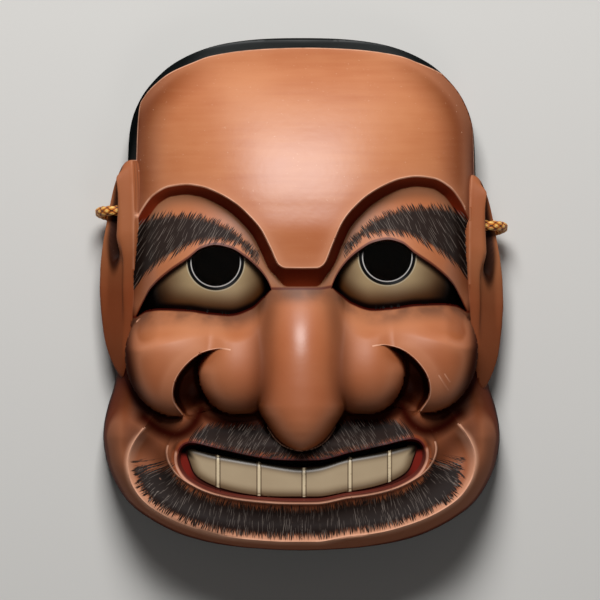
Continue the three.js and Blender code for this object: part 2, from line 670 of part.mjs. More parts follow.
// The cord on the left, from its stopper knot through the ear, round the ear's edge and under
// the rim to its coil. The right one is its mirror image, set lower at the ear
const cordRoute = [
  [56.6, 33.8, 22.6], [62, 33.8, 22.7], [67, 33.8, 22.8], [70, 33.8, 23], [72.8, 33.8, 23.6],
  [75.7, 33.7, 23.5], [78.5, 33.6, 21.9], [80.5, 33.4, 19], [81.2, 33, 15.2], [80.3, 32.4, 10.9],
  [78, 31.6, 7.3], [74.6, 30.6, 4.7], [70.8, 29, 3.2], [67, 26.5, 2.6], [62.5, 21.5, 2.5],
  [58.8, 14.5, 2.5], [56, 6, 2.6], [54.2, -4, 2.9], [53.2, -15.6, 3.3],
];
const knotAtEar = [50.8, 33.8, 22.3];

function onSide(sign, [x, y, z]) {
  return [sign * x, y - (sign > 0 ? earDrop * ease(10, 30, y) : 0), z];
}

function cordTube(sign) {
  const points = cordRoute.map((p) => new THREE.Vector3(...onSide(sign, p)));
  const path = new THREE.CatmullRomCurve3(points, false, 'centripetal');
  const section = new THREE.Shape().absarc(0, 0, cordRadius, 0, Math.PI * 2);
  const steps = Math.round(path.getLength() / (cordRadius * 4));
  const sweep = { extrudePath: path, steps, curveSegments: 4, bevelEnabled: false };
  return new THREE.ExtrudeGeometry(section, sweep);
}

// Five turns, two side by side and one on top of them
function coilRing(sign) {
  const half = cordRadius * 2;
  const low = coil.lift;
  const high = low + cordRadius * 4;
  const profilePoints = [
    [coil.middle - half, low], [coil.middle + half, low], [coil.middle + half, high],
    [coil.middle + cordRadius, high + cordRadius * 1.7], [coil.middle - cordRadius, high + cordRadius * 1.7],
    [coil.middle - half, high], [coil.middle - half, low],
  ];
  const geometry = new THREE.LatheGeometry(profilePoints.map(([r, z]) => new THREE.Vector2(r, z)), 32);
  geometry.rotateX(Math.PI / 2);
  geometry.translate(sign * coil.x, coil.y, 0);
  return geometry;
}

function knot([x, y, z]) {
  const geometry = new THREE.SphereGeometry(knotRadius, 10, 8);
  geometry.translate(x, y, z);
  return geometry;
}

function named(name, geometry, color, roughness) {
  const material = new THREE.MeshStandardMaterial({ color, roughness, metalness: 0 });
  const mesh = new THREE.Mesh(geometry, material);
  mesh.name = name;
  return mesh;
}

const part = new THREE.Group();
part.add(named('mask', toGeometry(maskSolid()), 0xb8744c, 0.45));
for (const [side, sign] of [['left', -1], ['right', 1]]) {
  const floorKnot = [sign * endKnot.x, endKnot.y, coil.lift + knotRadius];
  part.add(named(`cord_${side}_stopper`, knot(onSide(sign, knotAtEar)), 0xc98432, 0.7));
  part.add(named(`cord_${side}`, cordTube(sign), 0xc98432, 0.7));
  part.add(named(`cord_${side}_coil`, coilRing(sign), 0xc98432, 0.7));
  part.add(named(`cord_${side}_knot`, knot(floorKnot), 0xc98432, 0.7));
}

export default part;
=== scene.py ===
import math

import bpy
import numpy as np
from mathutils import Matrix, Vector, kdtree
from mathutils.geometry import delaunay_2d_cdt


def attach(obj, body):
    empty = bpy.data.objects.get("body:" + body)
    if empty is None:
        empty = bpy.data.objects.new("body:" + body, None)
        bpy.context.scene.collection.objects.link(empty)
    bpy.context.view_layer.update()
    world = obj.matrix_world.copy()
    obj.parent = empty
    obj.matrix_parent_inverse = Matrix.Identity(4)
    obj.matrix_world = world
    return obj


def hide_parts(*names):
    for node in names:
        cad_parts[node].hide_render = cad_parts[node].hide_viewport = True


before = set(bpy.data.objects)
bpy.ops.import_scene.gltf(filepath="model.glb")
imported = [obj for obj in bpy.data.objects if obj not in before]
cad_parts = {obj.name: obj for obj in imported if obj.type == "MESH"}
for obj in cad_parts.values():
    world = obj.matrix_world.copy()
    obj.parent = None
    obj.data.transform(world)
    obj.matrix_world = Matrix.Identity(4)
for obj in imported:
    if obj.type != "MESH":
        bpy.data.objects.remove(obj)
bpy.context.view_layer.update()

# Sizes are in millimetres, as on the maker's bench, and become metres when a mesh is made
MM = 0.001
RIM_WALL = 6
LIP_HEIGHT = 51
NOSE_TOP = 67.3
BROW_LIFT, EYE_LIFT, MOUTH_LIFT = 3.2, 2.1, 1.5  # how much higher the right side is carved
FOREHEAD_SHIFT = 1.5
LEDGE_WALL = {"centre": 7.6, "arch": 4.3}
LID_THICKNESS, LID_EDGE = 2.6, 0.8
EYE = {"x": 34.3, "y": 13, "z": 49.5, "curve_x": 30, "curve_y": 27, "pupil": 9.6}
# A bulb has its own reach towards the nose (inner) and upwards
CHEEK = {
    "x": 50, "y": -24, "z": 41, "rise": 17.8, "rx": 20.8, "inner": 30, "ry": 24.8, "upper": 22,
    "run_out": 0.3}
WING = {
    "x": 26, "y": -30.5, "z": 43, "rise": 18, "rx": 15.4, "inner": 30, "ry": 17.6, "upper": 33,
    "run_out": 0.7}
UNDER_WING = 8  # depth of the hollow under the nostrils
NOSTRIL = {"x": 24, "y": -43.8, "z": 44.5, "rx": 6, "ry": 4.6, "rz": 3.5}
NOSE_HOLLOW = {"x": 0, "y": -28, "z": 28, "rx": 11, "ry": 23, "rz": 28}
FOLD_DEPTH = {"edge": 5, "wing": 11}
LID_RISE = 1.2  # how steeply the cheek rises below the lower lid
DISH_DEPTH, RIM_BEAD = 10, 1.2
TOOTH_SET_BACK, GUM_SET_BACK = 3, 4.4
TOOTH_GAPS = (-33.4, -17, 1, 19.4, 35.2)
TOOTH_GAP_HALF, TOOTH_GAP_DEPTH = 0.7, 0.6
TEETH_SPAN, SLIT_HALF = (-83, -60), 42.3
LID_CORNERS, NOSE_FOOT = (12, 66.6), -62.4
BROW_ENDS, MOUSTACHE_END = (17.5, 69.5), 44.5
EAR_DROP, EAR_THICKNESS, EAR_DEPTH = 6, 5, 28.5
EAR_FRONT = {"x": 67, "z": 30}
EAR_SLOPE, EAR_OUT = 0.5, (0.887, 0.46)  # how the leaf runs back, and the way it faces
EAR_HOLLOW = {"x": 15.5, "y": 30, "rx": 6.6, "ry": 16}
ARCH = {"y": 22, "half": 36, "height": 7}
CORD_RADIUS, HOLE_RADIUS, KNOT_RADIUS, KNOT_ACROSS = 2.1, 2.7, 5.4, 3.2
BRAID_LENGTH, BRAID_RELIEF = 7, 0.45
CORD_HOLE = {"u": 14.4, "v": 33.8}
COIL = {"x": 28, "y": -32, "middle": 23, "lift": 1.2}
FINE, PLAIN = ((0.68, 1.05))  # spacing of the carved and plain facets

# Half outlines on the +X side, from the chin to the top
OUTLINE = [
    (0, -103), (17.4, -102.3), (28.6, -101.2), (39.8, -99.2), (51, -95.6), (62.2, -89.6), (70.6, -82.5),
    (77, -71.5), (79.6, -61), (79.6, -53), (78, -45), (75.5, -37), (74, -28), (73, -10), (72, 10),
    (70.5, 30), (70, 50), (69, 66), (66, 76), (60.5, 84.5), (51, 93), (37, 99.3), (20, 102.3), (0, 103)]
SKIN_EDGE = [
    (0, 98.9), (22, 98), (37, 95.8), (45, 93), (54, 89), (60, 84.5), (64.5, 79.5), (66.8, 73),
    (67.8, 50), (68, 20)]
DISH = [
    (0, -98.8), (12, -98.6), (29, -97), (40.2, -94.4), (52, -90), (62, -83.8), (67.4, -77),
    (69.5, -70.2), (69.1, -64), (66.4, -58), (62, -52), (57.5, -45), (54, -38), (46, -33), (34, -32),
    (15, -31), (0, -31)]
MUZZLE = [
    (0, -83.7), (12, -83.4), (26, -81.9), (37, -79.3), (45, -75.6), (50, -71.9), (53.2, -67),
    (53.9, -62), (51.6, -57), (46.5, -52.3), (42.5, -48.5), (39.5, -44), (33, -39), (18, -37), (0, -37)]
MOUTH = [
    (0, -82.6), (12, -82.2), (26, -80.8), (37, -78.2), (45, -74), (48.5, -69.5), (49.4, -64.5),
    (47.5, -60.5), (43, -59.3), (34, -61.3), (23, -63.8), (12, -65.7), (0, -66.2)]
TEETH = [
    (0, -81), (12, -80.9), (23, -79.8), (34, -77), (41.5, -73), (44.4, -67.8), (45, -61.8), (34, -64),
    (17, -66.8), (0, -69.2)]
CRESCENT = [
    (27, -22.4), (30.5, -21.7), (34.4, -21.7), (40, -23.3), (45.2, -27), (49.4, -32.2), (51.3, -37.4),
    (51.1, -42.6), (48.3, -47.3), (44.5, -52), (41, -57)]
EAR_SHAPE = [
    (13, 54), (20, 50.5), (26, 44), (28.5, 34), (28, 18), (27, 0), (25.5, -14), (21.5, -26), (15, -33),
    (9, -33.8), (4, -29), (1, -18), (0, 0), (0, 28), (1.5, 44), (6, 52)]

# Profiles: (place, value) knots
HALF_WIDTH_AT = [
    (-103, 80), (-53, 80), (-40, 77), (-28, 74.5), (0, 72.6), (30, 70.8), (60, 70), (103, 70)]
SKULL_AT = [
    (-60, 60), (10, 60.6), (24, 61), (36, 59.2), (47, 56.4), (58, 52.6), (70, 47.3), (82, 40.8),
    (92, 34), (99, 28), (103, 24)]
FACE_AT = [
    (-103, 45.5), (-99, 47), (-85, 48.5), (-65, 50), (-30, 50), (0, 50), (10, 50), (25, 49), (36, 50),
    (44, 52), (60, 54.5)]
LEDGE_AT = [
    (0, 10.6), (6.3, 10.7), (8.8, 11.8), (12.2, 18.6), (16, 26), (20.2, 31), (25.8, 36.2), (32.6, 40.4),
    (39.8, 43.3), (46, 44.2), (53, 43.4), (59.4, 40), (64.5, 33.5), (68, 26), (72, 16)]
UPPER_LID_AT = [
    (12, 2), (13.5, 5.5), (17, 10.2), (23, 15.5), (28.6, 18.7), (34.6, 19.9), (39.8, 18.6),
    (45.4, 14.4), (53.8, 8.6), (60.6, 2.2), (63.8, -3.6), (66.6, -9.4)]
LOWER_LID_AT = [
    (12, 2), (15.6, -2), (20.2, -6), (28.6, -8.6), (37, -8), (45.4, -6.8), (56.6, -6.4), (62, -7),
    (66.6, -9.4)]
NOSE_WIDTH_AT = [
    (-62.5, 0), (-62.2, 2.4), (-61.2, 5.6), (-59.5, 8.5), (-57, 11), (-54, 13), (-51, 14.8),
    (-47.5, 17), (-44, 18.4), (-36, 19.2), (-28, 19.5), (-18, 19.4), (-8, 18), (0, 16.8), (6, 16.4)]
NOSE_HEIGHT_AT = [
    (-62.5, 55.5), (-61.5, 58), (-59.5, 60.8), (-57, 63), (-54, 65), (-50, 66.5), (-44, NOSE_TOP),
    (-38, 67.2), (-32, 66.7), (-26, 65.9), (-20, 64.5), (-14, 62.5), (-8, 59.8), (-2, 56.6), (4, 53),
    (12, 46)]
EDGE_ROUND_AT = [(0, 4.2), (0.36, 4.6), (0.45, 7), (0.72, 7.5), (0.86, 8), (0.93, 5), (1, 4.6)]
SIDE_WALL_AT = [(0, 26), (0.2, 24), (0.35, 14), (0.5, 10), (0.8, 10), (1, 16)]
HOLLOW_AT = [
    (-98, 28), (-75, 31), (-52, 30.5), (-35, 30.5), (0, 33), (12, 37), (25, 41), (40, 45), (58, 44),
    (75, 37), (88, 28), (98, 19)]
EAR_FLARE_AT = [
    (-33.8, 8.5), (-29, 10.3), (-18, 12), (-5.8, 12.9), (10, 12.2), (19, 11), (29, 8.9), (38, 7.2),
    (47.4, 5.4), (54, 3)]
BROW_TOP_AT = [
    (16, 16), (19.4, 19), (25.3, 24.6), (33.5, 29.6), (43.7, 32.2), (54, 32.6), (64.2, 30), (68, 24),
    (70, 10)]
BROW_FOOT_AT = [
    (16, 11), (20, 14.6), (26.6, 19.8), (36.6, 20.8), (41.8, 20), (54, 14), (60, 10), (68, 0), (70, -4)]
MOUSTACHE_TOP_AT = [(0, -52), (20, -52), (30, -51.6), (37.4, -51.4), (41, -53.5), (44, -57)]
MOUSTACHE_FOOT_AT = [(0, -66), (12, -65.2), (23, -63.8), (34, -61.4), (43, -58.8)]
MOUTH_MIDDLE_AT = [(0, -74), (30, -70), (45, -65), (54, -61)]
# Lines along which shadow is painted into the hollows, with how far it spreads and how dark it is
SHADOW_LINES = [
    ([(70.5, -8), (70.5, -20), (67.5, -36), (63, -45), (57, -51)], 3.4, 0.95),
    ([(63, -49), (57, -54), (50, -56), (44, -53), (40, -46)], 5.5, 1),
    ([(42, -47), (34, -50.5), (25, -52.5), (20, -53)], 4.2, 0.95),
    ([(46, -55), (50, -60), (51.4, -66)], 2.4, 0.8),
    ([(12.5, 0), (14, -8), (15.5, -20), (16, -36), (17, -42)], 4.6, 0.55),
    ([(66, -56), (60, -61), (54, -68)], 7, 0.7)]
# Scratches and chips, each from its start to its end
SCRATCHES = [
    [(54.8, -32.2), (58.6, -38.2)], [(57.2, -31.8), (59.4, -35)], [(-56.9, -73.6), (-56.2, -74)],
    [(-66.2, -11), (-64.6, -9.6)]]

# The cord's route on the left, from its stopper knot to its coil, with +X outwards
CORD_ROUTE = [
    (56.6, 33.8, 22.6), (62, 33.8, 22.7), (67, 33.8, 22.8), (70, 33.8, 23), (72.8, 33.8, 23.6),
    (75.7, 33.7, 23.5), (78.5, 33.6, 21.9), (80.5, 33.4, 19), (81.2, 33, 15.2), (80.3, 32.4, 10.9),
    (78, 31.6, 7.3), (74.6, 30.6, 4.7), (70.8, 29, 3.2), (67, 26.5, 2.6), (62.5, 21.5, 2.5),
    (58.8, 14.5, 2.5), (56, 6, 2.6), (54.2, -4, 2.9), (53.2, -15.6, 3.3)]
KNOT_AT_EAR = (50.8, 33.8, 22.3)
END_KNOT = {"x": 34.45, "y": -43.2}


# Curve helpers
def ease(start, end, t):
    s = np.clip((t - start) / (end - start), 0, 1)
    return s * s * (3 - 2 * s)


def blend(a, b, t):
    return a + (b - a) * t


def bell(t):
    return np.exp(-t * t)


def soft_max(a, b, k):
    h = np.clip(0.5 + 0.5 * (a - b) / k, 0, 1)
    return blend(b, a, h) + k * h * (1 - h)


def soft_min(a, b, k):
    return -soft_max(-a, -b, k)


def profile(knots, t):
    """A smooth curve through knots that never swings past them"""
    x, y = np.array(knots, float).T
    slope = np.diff(y) / np.diff(x)
    turn = slope[1:] * slope[:-1]
    inner = np.where(turn > 0, 2 * turn / np.where(turn > 0, slope[1:] + slope[:-1], 1), 0)
    tangent = np.concatenate([[slope[0]], inner, [slope[-1]]])
    t = np.clip(t, x[0], x[-1])
    i = np.clip(np.searchsorted(x, t) - 1, 0, len(x) - 2)
    h = x[i + 1] - x[i]
    u = (t - x[i]) / h
    v = 1 - u
    return (y[i] * (1 + 2 * u) * v * v + tangent[i] * h * u * v * v
            + y[i + 1] * u * u * (3 - 2 * u) - tangent[i + 1] * h * u * u * v)


def spline(points, closed=False):
    """A smooth line through points, with eight steps from each to the next"""
    steps = 8
    p = np.array(points, float)
    n = len(p)
    i = np.arange(n if closed else n - 1)
    around = [(i + j) % n if closed else np.clip(i + j, 0, n - 1) for j in (-1, 0, 1, 2)]
    a, b, c, d = (p[k][:, None] for k in around)
    t = (np.arange(steps) / steps)[None, :, None]
    squared, cubed = 2 * a - 5 * b + 4 * c - d, 3 * b - a - 3 * c + d
    curve = 0.5 * (2 * b + (c - a) * t + squared * t ** 2 + cubed * t ** 3)
    last = p[:1] if closed else p[-1:]
    return np.concatenate([curve.reshape(-1, p.shape[1]), last])


def whole(half):
    """The closed curve of a half outline and its mirror image"""
    return spline(list(half) + [(-x, y) for x, y in reversed(half) if x > 0.01], True)


def nearest(line, x, y):
    """Signed distance to a line, positive on its left, and the share of its length passed there"""
    a, step = line[:-1], np.diff(line, axis=0)
    length = np.hypot(*step.T)
    keep = length > 1e-9
    a, step, length = a[keep], step[keep], length[keep]
    passed = np.concatenate([[0], np.cumsum(length)[:-1]])
    flat_x, flat_y = np.ravel(x), np.ravel(y)
    distance, share = np.empty(flat_x.shape), np.empty(flat_x.shape)
    for start in range(0, len(flat_x), 8000):
        part = slice(start, start + 8000)
        dx = flat_x[part, None] - a[None, :, 0]
        dy = flat_y[part, None] - a[None, :, 1]
        t = np.clip((dx * step[:, 0] + dy * step[:, 1]) / length ** 2, 0, 1)
        gap = np.hypot(dx - t * step[:, 0], dy - t * step[:, 1])
        across = (step[:, 0] * dy - step[:, 1] * dx) / length
        best = np.argmin(gap - 1e-6 * np.abs(across), axis=1)
        row = np.arange(len(best))
        distance[part] = np.where(across[row, best] < 0, -1, 1) * gap[row, best]
        share[part] = (passed[best] + t[row, best] * length[best]) / length.sum()
    return distance.reshape(np.shape(x)), share.reshape(np.shape(x))


OUTLINE_RING, DISH_RING, MUZZLE_RING = whole(OUTLINE), whole(DISH), whole(MUZZLE)
MOUTH_RING, TEETH_RING = whole(MOUTH), whole(TEETH)
CRESCENT_LINE = spline(CRESCENT)
SKIN_LINE = spline([(-x, y) for x, y in SKIN_EDGE[:0:-1]] + SKIN_EDGE)
LEDGE_X = np.linspace(-72, 72, 193)
LEDGE_LINE = np.stack([LEDGE_X, profile(LEDGE_AT, np.abs(LEDGE_X))], axis=1)
EAR_RING = spline(EAR_SHAPE[::-1], True)


# Forms of the face, as in the part's source
def lifted(x, y, lift):
    """Height on the face, with the right side's higher carving taken back"""
    return y - lift * ease(6, 20, x)


def falling(x, width):
    """How the head curves back towards its sides"""
    return np.sqrt(np.clip(1 - (np.abs(x) / (1.05 * width)) ** 2.6, 0, 1))


def jaw_falling(x, width):
    """The jaw is fuller towards its sides than the rest of the head"""
    return np.sqrt(np.clip(1 - (np.abs(x) / (1.12 * width)) ** 4, 0, 1))


def bulb(form, x, y):
    """A swelling, round like a ball on its outer and lower sides"""
    rx = np.where(x < form["x"], form["inner"], form["rx"])
    ry = np.where(y > form["y"], form["upper"], form["ry"])
    q_across, q_along = ((x - form["x"]) / rx) ** 2, ((y - form["y"]) / ry) ** 2
    q = q_across + q_along
    gentle = (np.where(x < form["x"], q_across, 0) + np.where(y > form["y"], q_along, 0)) / (q + 1e-9)
    power = 0.5 + form["run_out"] * gentle  # round like a ball, but running out gently on those sides
    return np.where(q < 1, form["z"] + form["rise"] * np.clip(1 - q, 0, 1) ** power, -99)


def eyeball(x, y):
    outer_corner = 0.1 * np.maximum(x - 57, 0) ** 2
    across = (x - EYE["x"]) ** 2 / (2 * EYE["curve_x"])
    return EYE["z"] - across - (y - EYE["y"] + 1) ** 2 / (2 * EYE["curve_y"]) - outer_corner


class Places:
    """Distances from the carved lines, worked out once for a set of points"""

    def __init__(self, x, y):
        self.x, self.y, self.ax = x, y, np.abs(x)
        self.y_mouth = lifted(x, y, MOUTH_LIFT)
        self.y_eye = lifted(x, y, EYE_LIFT)
        self.y_brow = lifted(x, y, BROW_LIFT)
        self.edge, share = nearest(OUTLINE_RING, x, y)
        self.from_top = np.abs(share * 2 - 1)
        self.dish = nearest(DISH_RING, x, self.y_mouth)[0]
        self.muzzle, self.muzzle_share = nearest(MUZZLE_RING, x, self.y_mouth)
        self.mouth = nearest(MOUTH_RING, x, self.y_mouth)[0]
        self.teeth = nearest(TEETH_RING, x, self.y_mouth)[0]
        self.fold, self.fold_share = nearest(CRESCENT_LINE, self.ax, self.y_mouth)
        self.hair = nearest(SKIN_LINE, x - FOREHEAD_SHIFT, y)[0]
        self.ledge = nearest(LEDGE_LINE, x, self.y_brow)[0]
        self.ledge_wall = blend(LEDGE_WALL["centre"], LEDGE_WALL["arch"], ease(6, 11, self.ax))
        self.above_lower_lid = self.y_eye - profile(LOWER_LID_AT, self.ax)
        self.lids = np.minimum(profile(UPPER_LID_AT, self.ax) - self.y_eye, self.above_lower_lid)
        self.pupil = np.hypot(self.ax - EYE["x"], self.y_eye - EYE["y"]) - EYE["pupil"]
        self.tooth_gap = np.min([np.abs(x - gap) for gap in TOOTH_GAPS], axis=0)
        self.ball = eyeball(self.ax, self.y_eye)
        self.lip = LIP_HEIGHT * np.sqrt(np.clip(1 - (self.ax / 84) ** 3, 0, 1))
        self.lid_shelf = eyeball(self.ax, profile(LOWER_LID_AT, self.ax)) + LID_THICKNESS


def shell(at, centre_profile, shift=0):
    """The head's outer form: a side wall, a rounded edge and a curve across it"""
    wall = profile(SIDE_WALL_AT, at.from_top)
    t = np.clip(at.edge / profile(EDGE_ROUND_AT, at.from_top), 0, 1)
    width = profile(HALF_WIDTH_AT, at.y)
    section = blend(falling(at.x - shift, width), jaw_falling(at.x - shift, width), ease(-44, -58, at.y))
    full = profile(centre_profile, at.y) * section
    return wall + (full - wall) * np.sqrt(1 - (1 - t) ** 2)


def lower_face(at, side):
    """The muzzle, with the concave dish round it that rises to a sharp rim"""
    bead = RIM_BEAD * bell(at.dish / 2) * ease(-46, -54, at.y)
    out, in_dish = np.maximum(-at.muzzle, 0), np.maximum(at.dish, 0)
    u = out / (out + in_dish + 1e-9)
    sunk = DISH_DEPTH * (1 - np.exp(-3.2 * u)) * (1 - u) ** 0.8
    floor = np.where(at.dish > 0, blend(at.lip, side, u) - sunk, side) + bead
    lip_groove = 1.1 * bell((at.muzzle - 2.2) / 1.2) * ease(30, 44, at.ax) + 1.2 * bell(at.muzzle / 1.6)
    return np.where(at.muzzle > 0, at.lip - lip_groove, floor - 1.2 * bell(at.muzzle / 1.6))


def cheeks(at, under):
    """The cheeks, each cut off sharply along the curved fold beside the nostril"""
    full = soft_max(under, bulb(CHEEK, at.ax, at.y_mouth), 3)
    fold_open = ease(0, 0.16, at.fold_share) * ease(0.98, 0.74, at.fold_share)
    deep = blend(FOLD_DEPTH["edge"], FOLD_DEPTH["wing"], ease(0, 7, -at.fold))
    pit = blend(full, np.minimum(under, 47) - deep, fold_open)
    edge_width = blend(0.8, 4, ease(0.78, 0.95, at.fold_share))
    return np.where(at.fold > 0, full, blend(full, pit, ease(0, edge_width, -at.fold)))


def below_eyes(at, z, side):
    """Cheeks and nostrils rise from the lower lid at an even slope"""
    below_lid = -at.above_lower_lid
    lid_ends = np.maximum(ease(58, 68, at.ax), ease(18, 11, at.ax))
    shelf = blend(at.lid_shelf, np.maximum(side, at.lid_shelf), lid_ends)
    slope_up = shelf + 2 + LID_RISE * np.maximum(below_lid, 0) + lid_ends
    slope_up = slope_up + 14 * ease(-14, -30, at.y)
    return np.where(below_lid > -1, soft_min(z, slope_up, 4), z)


def wings(at):
    """The nostrils, which pass into the cheeks at their upper outer side"""
    merging = 0.08 * np.maximum(at.ax - 30, 0) ** 2 * ease(-32, -18, at.y)
    return bulb(WING, at.ax, at.y) - merging


def nose(at):
    """The nose's back, an arch across it that rises towards its tip"""
    wide = np.maximum(profile(NOSE_WIDTH_AT, at.y), 1e-3)
    foot = blend(44, 41, ease(-45, -30, at.y))
    crown = np.sqrt(np.clip(1 - (at.x / wide) ** 2, 0, 1))
    inside = (at.y < 12) & (at.y > NOSE_FOOT) & (at.ax < wide)
    return np.where(inside, foot + (profile(NOSE_HEIGHT_AT, at.y) - foot) * crown, -99)


def teeth_row(at):
    """One rounded band of teeth with a shallow joint at each gap, and the gums round it"""
    channel = TOOTH_GAP_DEPTH * ease(TOOTH_GAP_HALF + 0.2, TOOTH_GAP_HALF - 0.1, at.tooth_gap)
    rounding = 0.8 * bell(at.teeth / 1.2)
    return np.where(at.teeth > 0, at.lip - TOOTH_SET_BACK - channel - rounding, at.lip - GUM_SET_BACK)


def over_ledge(at, under):
    """The bald forehead, which ends in a steep step above the brows"""
    hair_step = 0.9 * ease(0, 0.6, at.hair)
    plate = shell(at, SKULL_AT, FOREHEAD_SHIFT) - hair_step
    return blend(under, plate, np.clip(1 + at.ledge / at.ledge_wall, 0, 1))


def face_height(at):
    """How high the carved face stands, with its forms laid over one another"""
    side = shell(at, FACE_AT)
    z = np.where(at.y > -31, side, lower_face(at, side))
    z = z - UNDER_WING * ease(-61, -50, at.y) * ease(-36, -44, at.y) * ease(50, 31, at.ax)
    z = np.where(at.y_eye > -20, soft_max(z, at.ball + LID_THICKNESS, 6), z)
    z = cheeks(at, z)
    z = soft_max(z, wings(at), blend(1, 8, ease(-40, -26, at.y)))
    z = below_eyes(at, z, side)
    z = soft_max(z, nose(at), blend(1.4, 5, ease(-50, -34, at.y)))
    z = np.where(at.mouth > 0, blend(z, teeth_row(at), np.clip(at.mouth, 0, 1)), z)
    z = np.where(at.lids > 0, blend(z, at.ball, np.clip(at.lids / LID_EDGE, 0, 1)), z)
    return over_ledge(at, z)


def hollow_height(x, y, edge):
    dome = profile(HOLLOW_AT, y) * falling(x, profile(HALF_WIDTH_AT, y) - RIM_WALL)
    return dome * np.sqrt(1 - (1 - np.clip(edge / 13, 0, 1)) ** 2)


def ear_reach(u, v):
    """Distance from the middle of the ear's hollow, as a share of its half width"""
    across, up = (u - EAR_HOLLOW["x"]) / EAR_HOLLOW["rx"], (v - EAR_HOLLOW["y"]) / EAR_HOLLOW["ry"]
    return np.hypot(across, up)


def ear_relief(u, v):
    """How far the ear's front stands out from its leaf, at a place back and up on it"""
    edge = nearest(EAR_RING, u, v)[0]
    rim = 1.7 * bell((edge - 3) / 2.2) * ease(-14, 4, v)
    sunk = 6.5 * ease(1.15, 0.7, ear_reach(u, v))
    flap = 3.4 * bell((u - 6.5) / 3.4) * ease(12, 24, v) * ease(52, 46, v)
    lobe = 1.4 * bell((v + 18) / 12)
    leaf = 2 * np.sqrt(1 - (1 - np.clip(edge / 1.6, 0, 1)) ** 2)
    return leaf + rim - sunk + np.maximum(flap, lobe) * ease(0, 3, edge)


def ear_point(sign, u, v, out):
    """The place on an ear that lies so far back, up and out from its leaf"""
    x = EAR_FRONT["x"] + profile(EAR_FLARE_AT, v) * (u / EAR_DEPTH) + out * EAR_OUT[0]
    y = v - (EAR_DROP if sign > 0 else 0)
    front = EAR_FRONT["z"] - 4.5 * ease(26, 4, v)
    return np.stack([sign * x, y, front - u * EAR_SLOPE + out * EAR_OUT[1]], axis=-1)


# Meshes
def steps_along(line, spacing, offset=0):
    """Even steps along a line, moved to its left by an offset"""
    length = np.concatenate([[0], np.cumsum(np.hypot(*np.diff(line, axis=0).T))])
    s = np.linspace(0, length[-1], max(2, round(length[-1] / spacing)) + 1)
    p = np.stack([np.interp(s, length, line[:, 0]), np.interp(s, length, line[:, 1])], axis=1)
    t = np.gradient(p, axis=0)
    if np.allclose(line[0], line[-1]):
        t[0] = t[-1] = t[0] + t[-1]
    t /= np.hypot(*t.T)[:, None]
    return p + offset * np.stack([-t[:, 1], t[:, 0]], axis=1)


def both_sides(points):
    return np.concatenate([points, points * (-1, 1)])


def raised(points, lift):
    return points + np.stack([np.zeros(len(points)), lift * ease(6, 20, points[:, 0])], axis=1)


def lid_line(knots, inset):
    x = np.linspace(*LID_CORNERS, 400)
    return steps_along(np.stack([x, profile(knots, x) + inset], axis=1), FINE)


def bulb_line(form, grow):
    a = np.linspace(0, 2 * math.pi, 200)
    rx = np.where(np.cos(a) < 0, form["inner"], form["rx"]) + grow
    ry = np.where(np.sin(a) > 0, form["upper"], form["ry"]) + grow
    return steps_along(np.stack([form["x"] + rx * np.cos(a), form["y"] + ry * np.sin(a)], axis=1), FINE)


def carved_points():
    """Points along every carved line and beside it, so that crisp edges lie on mesh edges"""
    below_ledge = (0, 0.5, LEDGE_WALL["arch"])
    lines = [raised(steps_along(LEDGE_LINE, FINE, -shift), BROW_LIFT) for shift in below_ledge]
    for inset in (0, LID_EDGE):
        lines.append(raised(both_sides(lid_line(UPPER_LID_AT, -inset)), EYE_LIFT))
        lines.append(raised(both_sides(lid_line(LOWER_LID_AT, inset)), EYE_LIFT))
    for shift in (0, 0.4, 0.8):
        lines.append(raised(both_sides(steps_along(CRESCENT_LINE, FINE, -shift)), MOUTH_LIFT))
    for ring, shifts in (
            (MOUTH_RING, (0, 0.5, 1)), (TEETH_RING, (-0.05, 0.35)), (MUZZLE_RING, (0, -0.6)),
            (DISH_RING, (0, 0.6, -0.6))):
        lines += [raised(steps_along(ring, FINE, shift), MOUTH_LIFT) for shift in shifts]
    lines += [steps_along(SKIN_LINE + (FOREHEAD_SHIFT, 0), FINE, shift) for shift in (0, 0.6)]
    lines += [steps_along(OUTLINE_RING, FINE, inset) for inset in (0.25, 0.7, 1.3)]
    y = np.arange(-62.3, -44, FINE * 0.8)
    lines.append(both_sides(np.stack([profile(NOSE_WIDTH_AT, y) + 0.05, y], axis=1)))
    for form in (WING, CHEEK):
        rings = [bulb_line(form, grow) for grow in (0.05, -0.12, -0.5, -1.2)]
        lift = 0 if form is WING else MOUTH_LIFT
        lines += [raised(both_sides(ring), lift) for ring in rings]
    gap_y = np.arange(*TEETH_SPAN, FINE)
    for gap in TOOTH_GAPS:
        for beside in (-0.9, -0.6, 0.6, 0.9):
            lines.append(np.stack([np.full(len(gap_y), gap + beside), gap_y], axis=1))
    return np.concatenate(lines)


def one_in_each_cell(points, cell):
    """Keeps the first point of each small square, so that lines that meet don't crowd"""
    keys = np.round(points / cell).astype(int)
    first = np.unique(keys, axis=0, return_index=True)[1]
    return points[np.sort(first)]


def field(line, spacing, margin, kept=None, wanted=None):
    """A plain field of points inside a closed line, clear of the points already there"""
    low, high = line.min(axis=0), line.max(axis=0)
    rows = np.arange(low[1], high[1], spacing * 0.866)
    cols = np.arange(low[0], high[0], spacing)
    x = cols[None, :] + (np.arange(len(rows)) % 2)[:, None] * spacing / 2
    p = np.stack([x, np.broadcast_to(rows[:, None], x.shape)], axis=-1).reshape(-1, 2)
    if wanted is not None:
        p = p[wanted(p[:, 0], p[:, 1])]
    p = p[nearest(line, p[:, 0], p[:, 1])[0] > margin]
    if kept is not None:
        tree = kdtree.KDTree(len(kept))
        for i, q in enumerate(kept):
            tree.insert((*q, 0), i)
        tree.balance()
        p = p[[tree.find((*q, 0))[2] > spacing * 0.62 for q in p]]
    return p


